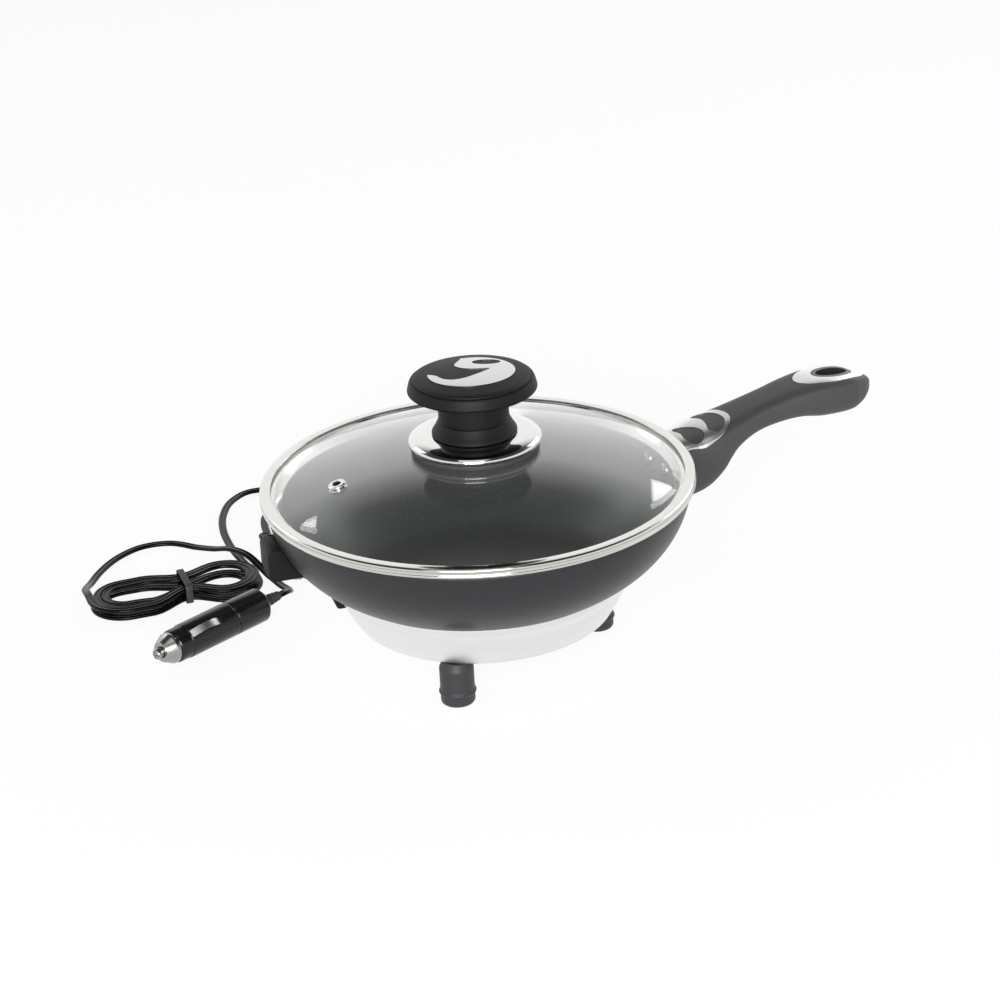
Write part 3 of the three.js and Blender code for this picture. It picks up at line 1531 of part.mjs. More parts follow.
function addPlug(group) {
  const plug = new THREE.Group();
  const heading = plugNose.clone().sub(plugRear).normalize();
  const away = new THREE.Vector3().crossVectors(heading, upright);
  plug.matrix.makeBasis(upright, away, heading);
  plug.quaternion.setFromRotationMatrix(plug.matrix);
  plug.position.copy(plugRear).setZ(plugRadius + cordFloor);
  group.add(plug);
  addPiece(plug, "plug_body", plugBody(), blackGloss);
  addPiece(plug, "plug_nose_ring", noseRing(), chrome);
  addPiece(plug, "plug_tip_contact", tipContact(), chrome);
  addPiece(plug, "plug_side_contact_near", sideContact().rotateZ(contactTurn), chrome);
  addPiece(plug, "plug_side_contact_far", sideContact().rotateZ(contactTurn + Math.PI), chrome);
  addPiece(plug, "plug_fuse", cylinder(fuseRadius, fuseTop - fuseLength, fuseTop), ceramic);
  addPiece(plug, "plug_spring", plugSpring(), steel);
  const relief = strainRelief(plugReliefLength, reliefRadius, reliefTipRadius, reliefRibs);
  addPiece(plug, "plug_strain_relief", relief.rotateX(Math.PI).translate(0, 0, -gap), rubber);
  const back = heading.clone().negate();
  const end = plug.position.clone().addScaledVector(back, plugReliefLength + 2 * gap);
  return { end, heading: back };
}

const appliance = new THREE.Group();
addBase(appliance);
addHeater(appliance);
addHandle(appliance);
addLid(appliance);
appliance.updateMatrixWorld(true);
const bounds = new THREE.Box3().setFromObject(appliance);

const group = new THREE.Group();
const assembly = new THREE.Group();
assembly.add(appliance);
addCord(assembly, addPlug(assembly));
assembly.position.set(-(bounds.min.x + bounds.max.x) / 2, -(bounds.min.y + bounds.max.y) / 2, 0);
group.add(assembly);

export default group;
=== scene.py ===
"""Portable electric skillet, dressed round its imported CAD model.

A non-stick pan stands on a brushed base ring with three feet. A domed glass lid with a
knob lies on it, a handle with silver inlays is riveted to it, and a flat twin cord leads
to a hank and a vehicle plug. Sizes are in millimetres about the pan's own axis, as in
the CAD source, and become metres in the CAD frame when a piece is added.
"""
import logging
import math
from collections.abc import Callable, Iterable, Sequence
from dataclasses import dataclass
from enum import Enum
from typing import Any

import bpy
from mathutils import Matrix, Quaternion, Vector


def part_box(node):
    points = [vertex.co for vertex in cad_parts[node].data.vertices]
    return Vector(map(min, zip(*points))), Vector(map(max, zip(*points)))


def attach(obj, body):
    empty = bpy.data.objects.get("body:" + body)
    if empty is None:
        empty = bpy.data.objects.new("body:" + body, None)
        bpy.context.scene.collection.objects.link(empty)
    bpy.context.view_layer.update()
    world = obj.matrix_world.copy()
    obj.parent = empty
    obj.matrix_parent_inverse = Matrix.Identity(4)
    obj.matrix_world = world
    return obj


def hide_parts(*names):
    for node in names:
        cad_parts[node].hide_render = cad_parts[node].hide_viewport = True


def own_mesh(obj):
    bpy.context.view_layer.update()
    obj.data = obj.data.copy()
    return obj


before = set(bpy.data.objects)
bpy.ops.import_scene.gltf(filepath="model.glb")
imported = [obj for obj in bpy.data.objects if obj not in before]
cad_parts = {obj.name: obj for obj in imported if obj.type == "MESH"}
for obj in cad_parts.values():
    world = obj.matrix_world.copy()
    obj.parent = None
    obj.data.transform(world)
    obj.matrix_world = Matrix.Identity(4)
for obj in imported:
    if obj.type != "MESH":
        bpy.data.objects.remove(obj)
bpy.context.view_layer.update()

LOG = logging.getLogger("skillet")
MM = 0.001
PAN_LOW, PAN_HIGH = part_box("pan_body")
PAN_AXIS = Vector(((PAN_LOW.x + PAN_HIGH.x) / 2, (PAN_LOW.y + PAN_HIGH.y) / 2, 0.0))
UP = Vector((0.0, 0.0, 1.0))

Point = tuple[float, float]
Place = tuple[float, float, float]
Shape = tuple[list[Vector], list[tuple[int, ...]]]
Solid = Shape | bpy.types.Mesh

RING_STEPS = 192


class Body(Enum):
    """Bodies of the CAD model that pieces ride on."""

    SKILLET = "skillet"
    LID = "lid"
    PLUG_TIP = "plug_tip"
    CONTACT_NEAR = "side_contact_near"
    CONTACT_FAR = "side_contact_far"


class Cut(Enum):
    """Ways to combine two solids."""

    AWAY = "DIFFERENCE"
    SHARED = "INTERSECT"
    JOINED = "UNION"


def link(name: str, data: Any) -> bpy.types.Object:
    """A new object of the scene."""
    item = bpy.data.objects.new(name, data)
    bpy.context.scene.collection.objects.link(item)
    return item


class Wire:
    """A node's socket on which Python's operators work."""

    def __init__(self, graph: "Graph", socket: bpy.types.NodeSocket | None) -> None:
        """Wraps a socket of a graph."""
        self.graph = graph
        self.socket = socket

    def _math(self, operation: str, first: Any, second: Any) -> "Wire":
        """One Math node on two values."""
        return self.graph.node("ShaderNodeMath", {"operation": operation}, {0: first, 1: second})

    def __add__(self, other: Any) -> "Wire":
        """Sum."""
        return self._math("ADD", self, other)

    __radd__ = __add__

    def __sub__(self, other: Any) -> "Wire":
        """Difference."""
        return self._math("SUBTRACT", self, other)

    def __rsub__(self, other: Any) -> "Wire":
        """Difference with the wire second."""
        return self._math("SUBTRACT", other, self)

    def __mul__(self, other: Any) -> "Wire":
        """Product."""
        return self._math("MULTIPLY", self, other)

    __rmul__ = __mul__

    def highest(self, other: Any) -> "Wire":
        """The larger of two values."""
        return self._math("MAXIMUM", self, other)

    def between(self, low: float, high: float) -> "Wire":
        """Zero below low, one above high, and straight between them."""
        values = {0: self, 1: low, 2: high, 3: 0.0, 4: 1.0}
        return self.graph.node("ShaderNodeMapRange", {"clamp": True}, values)


class Graph:
    """A node tree that is being built."""

    def __init__(self, tree: Any) -> None:
        """Starts work on a tree."""
        self.tree = tree
        self.given: Any = None

    def node(
        self,
        kind: str,
        settings: dict[str, Any] | None = None,
        values: dict[int | str, Any] | None = None,
        output: int | str = 0,
    ) -> Wire:
        """Makes one node.

        Args:
            kind: The node's type name.
            settings: Properties that are set first; "stops" are a ramp's stops.
            values: A number, a colour, a wire or the name of a tree input for each input.
            output: Which output to return.

        Returns:
            The chosen output as a wire.
        """
        made = self.tree.nodes.new(kind)
        for key, value in (settings or {}).items():
            if key == "stops":
                self._set_stops(made.color_ramp, value)
            else:
                setattr(made, key, value)
        for key, value in (values or {}).items():
            if isinstance(value, str):
                value = Wire(self, self.given.outputs[value])
            if isinstance(value, Wire):
                self.tree.links.new(value.socket, made.inputs[key])
            else:
                made.inputs[key].default_value = value
        return Wire(self, made.outputs[output] if made.outputs else None)

    @staticmethod
    def _set_stops(ramp: bpy.types.ColorRamp, stops: Sequence[tuple[float, float]]) -> None:
        """Sets a ramp's stops from pairs of place and grey value."""
        while len(ramp.elements) < len(stops):
            ramp.elements.new(1.0)
        for element, (place, grey) in zip(ramp.elements, stops):
            element.position = place
            element.color = (grey, grey, grey, 1.0)


class Shader(Graph):
    """The graph of a material or world."""

    def __init__(self, owner: Any) -> None:
        """Clears the owner's node tree."""
        owner.use_nodes = True
        super().__init__(owner.node_tree)
        self.tree.nodes.clear()

    def place(self, scale: Sequence[float] = (1, 1, 1), centre: Vector = Vector()) -> Wire:
        """Object coordinates moved so that centre is zero, then stretched by scale."""
        coordinates = self.node("ShaderNodeTexCoord", output="Object")
        offset = [-c * s for c, s in zip(centre, scale)]
        values = {"Vector": coordinates, "Location": offset, "Scale": scale}
        return self.node("ShaderNodeMapping", None, values)

    def noise(self, where: Wire, scale: float, detail: float = 2.0, rough: float = 0.5) -> Wire:
        """Noise between zero and one at a place."""
        values = {"Vector": where, "Scale": scale, "Detail": detail, "Roughness": rough}
        return self.node("ShaderNodeTexNoise", None, values)

    def blend(self, factor: Any, first: Any, second: Any) -> Wire:
        """Mixes two colours."""
        settings = {"data_type": "RGBA", "blend_type": "MIX"}
        return self.node("ShaderNodeMix", settings, {0: factor, 6: first, 7: second}, 2)

    def bump(self, height: Wire, depth: float, strength: float = 1.0) -> Wire:
        """A normal that follows a height between zero and one.

        Args:
            height: The height.
            depth: Metres between height zero and one.
            strength: Share of the bump that shows.

        Returns:
            The normal.
        """
        values = {"Height": height, "Distance": depth, "Strength": strength}
        return self.node("ShaderNodeBump", None, values)


def rgba(colour: Sequence[float], factor: float = 1.0) -> tuple[float, float, float, float]:
    """A colour as four values, brightened or darkened by a factor."""
    red, green, blue = (min(1.0, channel * factor) for channel in colour[:3])
    return red, green, blue, 1.0


@dataclass(frozen=True)
class Finish:
    """A surface finish: the record's slot it stands for, and its base values."""

    name: str
    slot: str
    colour: tuple[float, float, float]
    roughness: float
    metallic: float = 0.0
    coat: float = 0.0
    specular: float = 0.5

    def material(self) -> bpy.types.Material:
        """The finish as a material, made on first use."""
        known = bpy.data.materials.get(self.name)
        if known is not None:
            return known
        material = bpy.data.materials.new(self.name)
        material.diffuse_color = rgba(self.colour)
        shader = Shader(material)
        surface = self.surface(shader)
        shader.node("ShaderNodeOutputMaterial", None, {"Surface": surface})
        return material

    def principled(self, shader: Shader, **varying: Any) -> Wire:
        """The main shader, with inputs that vary given by name."""
        values: dict[int | str, Any] = {
            "Base Color": rgba(self.colour),
            "Roughness": self.roughness,
            "Metallic": self.metallic,
            "Coat Weight": self.coat,
            "Coat Roughness": 0.08,
            "Specular IOR Level": self.specular,
        }
        values.update({key.replace("_", " "): value for key, value in varying.items()})
        return shader.node("ShaderNodeBsdfPrincipled", None, values)

    def tint(self, shader: Shader, share: Wire, low: float, high: float) -> Wire:
        """The finish's colour, from low times to high times as bright."""
        return shader.blend(share, rgba(self.colour, low), rgba(self.colour, high))

    def surface(self, shader: Shader) -> Wire:
        """The finish's shader; here a plain moulded surface with slight mottling."""
        mottle = shader.noise(shader.place(), 60.0, 3.0)
        colour = self.tint(shader, mottle, 0.9, 1.1)
        rough = self.roughness + 0.08 * (mottle - 0.5)
        return self.principled(shader, Base_Color=colour, Roughness=rough)


@dataclass(frozen=True)
class NonStick(Finish):
    """Satin non-stick coating with fine light flecks."""

    fleck: float = 0.3

    def surface(self, shader: Shader) -> Wire:
        """Flecked colour, uneven sheen and a fine orange-peel bump."""
        where = shader.place()
        flecks = shader.noise(where, 900.0, 2.0, 0.6).between(0.5, 0.72)
        cloud = shader.noise(where, 14.0, 3.0)
        base = self.tint(shader, cloud, 0.88, 1.12)
        colour = shader.blend(flecks * self.fleck, base, rgba(self.colour, 2.6))
        peel = shader.noise(where, 520.0, 3.0)
        rough = self.roughness + 0.1 * (cloud - 0.5) - 0.08 * flecks
        normal = shader.bump(peel, 0.00006, 0.6)
        return self.principled(shader, Base_Color=colour, Roughness=rough, Normal=normal)


@dataclass(frozen=True)
class SpunMetal(Finish):
    """Metal brushed or turned round the pan's axis."""

    streak: float = 0.2

    def surface(self, shader: Shader) -> Wire:
        """Fine streaks round the axis in colour, sheen and relief."""
        fine = shader.noise(shader.place((9, 9, 2400), PAN_AXIS), 1.0, 4.0, 0.65)
        broad = shader.noise(shader.place((5, 5, 260), PAN_AXIS), 1.0, 3.0)
        smear = shader.noise(shader.place(), 22.0, 2.0)
        streaks = 0.7 * fine + 0.3 * broad
        low, high = 1 - self.streak, 1 + 0.4 * self.streak
        colour = self.tint(shader, streaks, low, high)
        rough = self.roughness + 0.25 * (streaks - 0.5) + 0.08 * (smear - 0.5)
        normal = shader.bump(streaks, 0.00002, 0.5)
        return self.principled(shader, Base_Color=colour, Roughness=rough, Normal=normal)


@dataclass(frozen=True)
class PolishedMetal(Finish):
    """Bright metal with faint smears and a slight unevenness."""

    def surface(self, shader: Shader) -> Wire:
        """Nearly mirror bright, with smears."""
        where = shader.place()
        smear = shader.noise(where, 35.0, 4.0, 0.6)
        wave = shader.noise(where, 45.0, 1.0)
        rough = self.roughness + 0.1 * smear * smear
        colour = self.tint(shader, smear, 0.95, 1.04)
        normal = shader.bump(wave, 0.00004, 0.3)
        return self.principled(shader, Base_Color=colour, Roughness=rough, Normal=normal)


@dataclass(frozen=True)
class SparkedPlastic(Finish):
    """Moulded plastic with the fine grain of a spark-eroded tool."""

    grain: float = 1.0

    def surface(self, shader: Shader) -> Wire:
        """Fine grain in relief and sheen, with handling marks."""
        where = shader.place()
        grain = shader.noise(where, 1900.0, 2.0, 0.6)
        handling = shader.noise(where, 28.0, 4.0, 0.6)
        colour = self.tint(shader, handling, 0.88, 1.16)
        rough = self.roughness + 0.12 * (handling - 0.5) + 0.06 * (grain - 0.5)
        normal = shader.bump(grain, 0.00005 * self.grain, 0.55)
        return self.principled(shader, Base_Color=colour, Roughness=rough, Normal=normal)


@dataclass(frozen=True)
class ClearGlass(Finish):
    """Tempered glass that lets the lamps' light through."""

    def surface(self, shader: Shader) -> Wire:
        """Refracting glass for what is seen, clear for the light that passes."""
        glass = self.principled(shader, Transmission_Weight=1.0, IOR=1.5)
        clear = shader.node("ShaderNodeBsdfTransparent", None, {"Color": rgba(self.colour)})
        shadow = shader.node("ShaderNodeLightPath", output="Is Shadow Ray")
        return shader.node("ShaderNodeMixShader", None, {0: shadow, 1: glass, 2: clear})


@dataclass(frozen=True)
class CordSheath(Finish):
    """Flexible glossy sheath, slightly wavy from being folded."""

    def surface(self, shader: Shader) -> Wire:
        """Scuffs and slow waves."""
        where = shader.place()
        scuff = shader.noise(where, 120.0, 4.0, 0.6)
        wave = shader.noise(where, 260.0, 1.0)
        colour = self.tint(shader, scuff, 0.8, 1.5)
        rough = self.roughness + 0.12 * (scuff - 0.5)
        normal = shader.bump(wave, 0.0001, 0.5)
        return self.principled(shader, Base_Color=colour, Roughness=rough, Normal=normal)


@dataclass(frozen=True)
class Felt(Finish):
    """Pressed mineral wool."""

    def surface(self, shader: Shader) -> Wire:
        """Short matted fibres."""
        fibre = shader.noise(shader.place((1, 1, 3)), 700.0, 5.0, 0.7)
        colour = self.tint(shader, fibre, 0.75, 1.05)
        return self.principled(shader, Base_Color=colour, Normal=shader.bump(fibre, 0.0004))


OUTER_ENAMEL = NonStick(
    "outer_enamel", "pan_coating", (0.017, 0.0172, 0.019), 0.38, specular=0.24, fleck=0.05
)
INNER_COATING = NonStick("inner_coating", "pan_coating", (0.036, 0.0365, 0.036), 0.42, fleck=0.5)
SPUN_ALUMINIUM = SpunMetal(
    "spun_aluminium", "brushed_aluminium", (0.93, 0.93, 0.92), 0.34, 1.0, streak=0.35
)
ZINC_STEEL = PolishedMetal("zinc_steel", "plain_steel", (0.62, 0.62, 0.61), 0.32, 1.0)
BAND_STEEL = PolishedMetal("band_steel", "polished_steel", (0.58, 0.573, 0.545), 0.1, 1.0)
PLUG_STEEL = PolishedMetal("plug_steel", "polished_steel", (0.36, 0.35, 0.34), 0.22, 1.0)
RIVET_COATING = NonStick("rivet_coating", "pan_coating", (0.3, 0.31, 0.29), 0.3, 1.0, fleck=0.1)
MIRROR_STEEL = PolishedMetal("mirror_steel", "polished_steel", (0.6, 0.596, 0.585), 0.05, 1.0)
INLAY_SILVER = PolishedMetal("inlay_silver", "silver_trim", (0.5, 0.496, 0.485), 0.12, 1.0)
SATIN_SILVER = PolishedMetal("satin_silver", "silver_trim", (0.72, 0.715, 0.7), 0.3, 1.0)
HANDLE_PLASTIC = SparkedPlastic(
    "handle_plastic", "black_plastic", (0.036, 0.0363, 0.0385), 0.5, specular=0.4
)
KNOB_PLASTIC = SparkedPlastic(
    "knob_plastic", "black_plastic", (0.005, 0.0051, 0.0058), 0.5, specular=0.15
)
FOOT_PLASTIC = SparkedPlastic(
    "foot_plastic", "foot_rubber", (0.022, 0.0225, 0.025), 0.5, specular=0.4, grain=2.0
)
PLUG_PLASTIC = SparkedPlastic(
    "plug_plastic", "black_gloss", (0.006, 0.006, 0.007), 0.2, specular=0.35, grain=0.2
)
EYELET_PLASTIC = SparkedPlastic("eyelet_plastic", "black_gloss", (0.02, 0.02, 0.022), 0.3, grain=0.5)
SOFT_RUBBER = SparkedPlastic("soft_rubber", "black_rubber", (0.022, 0.022, 0.024), 0.62, grain=2.0)
SHEATH = CordSheath("sheath", "cord_sheath", (0.0015, 0.0015, 0.0017), 0.22, specular=0.12)
LID_GLASS = ClearGlass("lid_glass_clear", "clear_glass", (0.96, 0.985, 0.975), 0.0)
MICA_SHEET = NonStick("mica_sheet", "mica", (0.5, 0.42, 0.27), 0.5, fleck=0.25)
WOOL_FELT = Felt("wool_felt", "insulation", (0.82, 0.8, 0.74), 0.95)
RIBBON = PolishedMetal("nickel_ribbon", "heating_ribbon", (0.4, 0.37, 0.33), 0.45, 1.0)
CERAMIC = Finish("glazed_ceramic", "ceramic", (0.74, 0.7, 0.62), 0.35, coat=0.3)


def rectangle(left: float, low: float, right: float, high: float) -> list[Point]:
    """The corners of a rectangle, anticlockwise."""
    return [(left, low), (right, low), (right, high), (left, high)]


def spin(degrees: float, size: int = 4) -> Matrix:
    """A turn about the vertical axis."""
    return Matrix.Rotation(math.radians(degrees), size, "Z")


def bezier(start: Point, pull: Point, end: Point, steps: int) -> list[Point]:
    """Points of a quadratic curve from start to end."""
    points = []
    for i in range(steps + 1):
        t = i / steps
        weights = ((1 - t) ** 2, 2 * t * (1 - t), t * t)
        pairs = list(zip(weights, (start, pull, end)))
        points.append(tuple(sum(weight * point[k] for weight, point in pairs) for k in (0, 1)))
    return points


def beside(curve: Sequence[Point], distance: float) -> list[Point]:
    """An open curve moved to its left by a distance."""
    moved = []
    for i, (x, y) in enumerate(curve):
        before, after = curve[max(i - 1, 0)], curve[min(i + 1, len(curve) - 1)]
        dx, dy = after[0] - before[0], after[1] - before[1]
        length = math.hypot(dx, dy)
        moved.append((x - dy / length * distance, y + dx / length * distance))
    return moved


def rounded(
    points: Sequence[Point], radius: float, closed: bool = True, steps: int = 4
) -> list[Point]:
    """An outline with its corners rounded.

    Args:
        points: The corners.
        radius: How far from a corner the rounding starts, at most.
        closed: Whether the last corner joins the first.
        steps: Facets of each rounding.

    Returns:
        The rounded outline.
    """
    result: list[Point] = []
    count = len(points)
    for i, (x, y) in enumerate(points):
        if not closed and i in (0, count - 1):
            result.append((x, y))
            continue
        ends = []
        for other in (points[i - 1], points[(i + 1) % count]):
            dx, dy = other[0] - x, other[1] - y
            length = math.hypot(dx, dy)
            reach = min(radius, 0.45 * length) / length
            ends.append((x + dx * reach, y + dy * reach))
        result += bezier(ends[0], (x, y), ends[1], steps)
    return result


def spline(points: Sequence[Sequence[float]], steps: int, closed: bool = False) -> list[Vector]:
    """Points of a centripetal Catmull-Rom curve through given points.

    Args:
        points: The points that the curve goes through, in any number of dimensions.
        steps: Pieces of the curve between two given points.
        closed: Whether the last point joins the first.

    Returns:
        The curve's points.
    """
    known = [Vector(p) for p in points]
    if closed:
        known = [known[-1], *known, known[0], known[1]]
    else:
        known = [2 * known[0] - known[1], *known, 2 * known[-1] - known[-2]]
    result = []
    for before, start, end, after in zip(known, known[1:], known[2:], known[3:]):
        pairs = ((before, start), (start, end), (end, after))
        first, middle, last = (max((b - a).length, 1e-6) ** 0.5 for a, b in pairs)
        out = (start - before) / first - (end - before) / (first + middle) + (end - start) / middle
        into = (end - start) / middle - (after - start) / (middle + last) + (after - end) / last
        out, into = out * middle, into * middle
        for i in range(steps):
            t = i / steps
            result.append(
                start
                + out * t
                + (-3 * start + 3 * end - 2 * out - into) * t**2
                + (2 * start - 2 * end + out + into) * t**3
            )
    if not closed:
        result.append(known[-2])
    return result


def flat_spline(points: Iterable[Point], steps: int, closed: bool = False) -> list[Point]:
    """A smooth curve through points of a plane."""
    return [(p.x, p.y) for p in spline([(x, y, 0.0) for x, y in points], steps, closed)]


def oval(
    centre: Point, length: float, width: float, turn: float = 0.0, steps: int = 64
) -> list[Point]:
    """An ellipse in plan, turned by an angle in radians."""
    points = []
    c, s = math.cos(turn), math.sin(turn)
    for i in range(steps):
        angle = 2 * math.pi * i / steps
        x, y = length / 2 * math.cos(angle), width / 2 * math.sin(angle)
        points.append((centre[0] + x * c - y * s, centre[1] + x * s + y * c))
    return points


def grown(points: Sequence[Point], distance: float) -> list[Point]:
    """A closed outline moved outwards by a distance."""
    area = sum(a[0] * b[1] - b[0] * a[1] for a, b in zip(points, [*points[1:], points[0]]))
    side = math.copysign(distance, area)
    moved = []
    for i, (x, y) in enumerate(points):
        before, after = points[i - 1], points[(i + 1) % len(points)]
        dx, dy = after[0] - before[0], after[1] - before[1]
        length = math.hypot(dx, dy)
        moved.append((x + dy / length * side, y - dx / length * side))
    return moved


def turned(profile: Sequence[Point], steps: int = 144) -> Shape:
    """A profile of radius and height turned about the vertical axis into a closed solid."""
    on_axis = [abs(radius) < 1e-9 for radius, _ in profile]
    vertices: list[Vector] = []
    rings: list[list[int]] = []
    for (radius, height), pole in zip(profile, on_axis):
        first = len(vertices)
        if pole:
            vertices.append(Vector((0, 0, height)))
            rings.append([first] * steps)
            continue
        for j in range(steps):
            angle = 2 * math.pi * j / steps
            vertices.append(Vector((radius * math.cos(angle), radius * math.sin(angle), height)))
        rings.append(list(range(first, first + steps)))
    if not on_axis[0]:
        rings.append(rings[0])
    faces: list[tuple[int, ...]] = []
    for low, high in zip(rings, rings[1:]):
        if low[0] == low[-1] and high[0] == high[-1]:
            continue
        for j in range(steps):
            k = (j + 1) % steps
            corners = (low[j], low[k], high[k], high[j])
            faces.append(tuple(dict.fromkeys(corners)))
    return vertices, faces


def rod(radius: float, low: float, high: float, steps: int = 40) -> Shape:
    """A round rod about the vertical axis."""
    return turned(rectangle(0, low, radius, high), steps)


def loft(rings: Sequence[Sequence[Vector]], first_tip: Vector, last_tip: Vector) -> Shape:
    """Rings of equally many corners, skinned one after another and closed by two tips."""
    count = len(rings[0])
    vertices = [corner for ring in rings for corner in ring] + [first_tip, last_tip]
    faces: list[tuple[int, ...]] = []
    for i in range(len(rings) - 1):
        for j in range(count):
            k = (j + 1) % count
            low, high = i * count, (i + 1) * count
            faces.append((low + j, low + k, high + k, high + j))
    first, last = len(vertices) - 2, len(vertices) - 1
    top = (len(rings) - 1) * count
    for j in range(count):
        k = (j + 1) % count
        faces.append((first, k, j))
        faces.append((last, top + j, top + k))
    return vertices, faces


def prism(outline: Sequence[Point], low: float, high: float) -> Shape:
    """An outline in plan raised from one height to another."""
    count = len(outline)
    vertices = [Vector((x, y, z)) for z in (low, high) for x, y in outline]
    faces = [tuple(reversed(range(count))), tuple(range(count, 2 * count))]
    for j in range(count):
        k = (j + 1) % count
        faces.append((j, k, count + k, count + j))
    return vertices, faces


def moved(shape: Shape, matrix: Matrix) -> Shape:
    """A shape in another place."""
    return [matrix @ vertex for vertex in shape[0]], shape[1]


def as_mesh(shape: Solid) -> bpy.types.Mesh:
    """A shape as a mesh, its faces outwards; what is a mesh already stays as it is."""
    if not isinstance(shape, tuple):
        return shape
    mesh = bpy.data.meshes.new("shape")
    mesh.from_pydata(shape[0], [], shape[1])
    volume = 0.0
    for face in mesh.polygons:
        corners = [mesh.vertices[i].co for i in face.vertices]
        for b, c in zip(corners[1:], corners[2:]):
            volume += corners[0].dot(b.cross(c))
    if volume < 0:
        mesh.flip_normals()
    mesh.update()
    return mesh


def temporary(mesh: bpy.types.Mesh) -> bpy.types.Object:
    """An object that only lives while a mesh is worked on."""
    return link("work", mesh)


def evaluated(item: bpy.types.Object) -> bpy.types.Mesh:
    """The object's mesh with its modifiers applied; the object goes."""
    graph = bpy.context.evaluated_depsgraph_get()
    mesh = bpy.data.meshes.new_from_object(item.evaluated_get(graph), depsgraph=graph)
    bpy.data.objects.remove(item)
    return mesh


def carved(shape: Solid, *tools: Solid, way: Cut = Cut.AWAY) -> bpy.types.Mesh:
    """Combines a solid with others, one after another.

    Args:
        shape: The solid that is worked on.
        tools: The solids that cut it, join it or share space with it.
        way: How they combine.

    Returns:
        The new mesh.
    """
    item = temporary(as_mesh(shape))
    others = []
    for tool in tools:
        other = temporary(as_mesh(tool))
        modifier = item.modifiers.new("cut", "BOOLEAN")
        modifier.operation = way.value
        modifier.solver = "MANIFOLD"
        modifier.object = other
        others.append(other)
    mesh = evaluated(item)
    for other in others:
        bpy.data.objects.remove(other)
    return mesh


def bevelled(
    mesh: bpy.types.Mesh, width: float, steps: int = 2, angle: float = 40.0
) -> bpy.types.Mesh:
    """A mesh with its sharp edges rounded, sizes in millimetres and degrees."""
    item = temporary(mesh)
    modifier = item.modifiers.new("edge", "BEVEL")
    modifier.width = width
    modifier.segments = steps
    modifier.limit_method = "ANGLE"
    modifier.angle_limit = math.radians(angle)
    modifier.use_clamp_overlap = True
    return evaluated(item)


@dataclass
class Inlay:
    """A thin silver inlay that follows a curved top, and the recess that it lies in."""

    outline: list[Point]
    holes: list[list[Point]]
    span: Point
    form: Callable[[float], Shape]
    gap: float
    thickness: float = 1.2
    proud: float = 0.3

    def _islands(self, growth: float) -> list[Shape]:
        """What stands in the inlay's holes, grown by a distance."""
        low, high = self.span
        outlines = [grown(hole, growth) if growth else hole for hole in self.holes]
        return [prism(outline, low - 2, high + 2) for outline in outlines]

    def piece(self) -> bpy.types.Mesh:
        """The inlay itself."""
        bar = carved(prism(self.outline, *self.span), self.form(self.proud), way=Cut.SHARED)
        return carved(bar, self.form(-self.thickness), *self._islands(0.0))

    def recess(self) -> bpy.types.Mesh:
        """The recess, wider and deeper than the inlay by the gap."""
        wider = prism(grown(self.outline, self.gap), *self.span)
        floor = self.form(-self.thickness - self.gap)
        return carved(wider, floor, *self._islands(-self.gap))


def add_piece(
    name: str,
    source: Solid,
    finish: Finish,
    body: Body,
    replaces: Iterable[str],
    sharp: float = 32.0,
    place: Matrix = Matrix.Identity(4),
) -> bpy.types.Object:
    """Adds a piece of the object to the scene.

    Args:
        name: The piece's name.
        source: Its shape in millimetres, about the pan's axis.
        finish: Its material.
        body: The CAD body that it rides on.
        replaces: The CAD nodes that it stands for.
        sharp: Edges that turn more than this many degrees stay sharp.
        place: Where it goes in the pan's frame, in millimetres.

    Returns:
        The new object.
    """
    mesh = as_mesh(source)
    mesh.name = name
    to_frame = Matrix.Translation(PAN_AXIS) @ Matrix.Scale(MM, 4)
    mesh.transform(to_frame @ place)
    if not mesh.materials:
        mesh.materials.append(None)
    for index, material in enumerate(mesh.materials):
        mesh.materials[index] = material or finish.material()
    mesh.shade_smooth()
    mesh.set_sharp_from_angle(angle=math.radians(sharp))
    piece = link(name, mesh)
    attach(piece, body.value)
    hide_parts(*replaces)
    LOG.info("%s: %d faces, %s", name, len(mesh.polygons), finish.name)
    return piece


def dress_node(name: str, finish: Finish) -> None:
    """Gives a CAD node that stays its material."""
    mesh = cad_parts[name].data
    mesh.materials.clear()
    mesh.materials.append(finish.material())


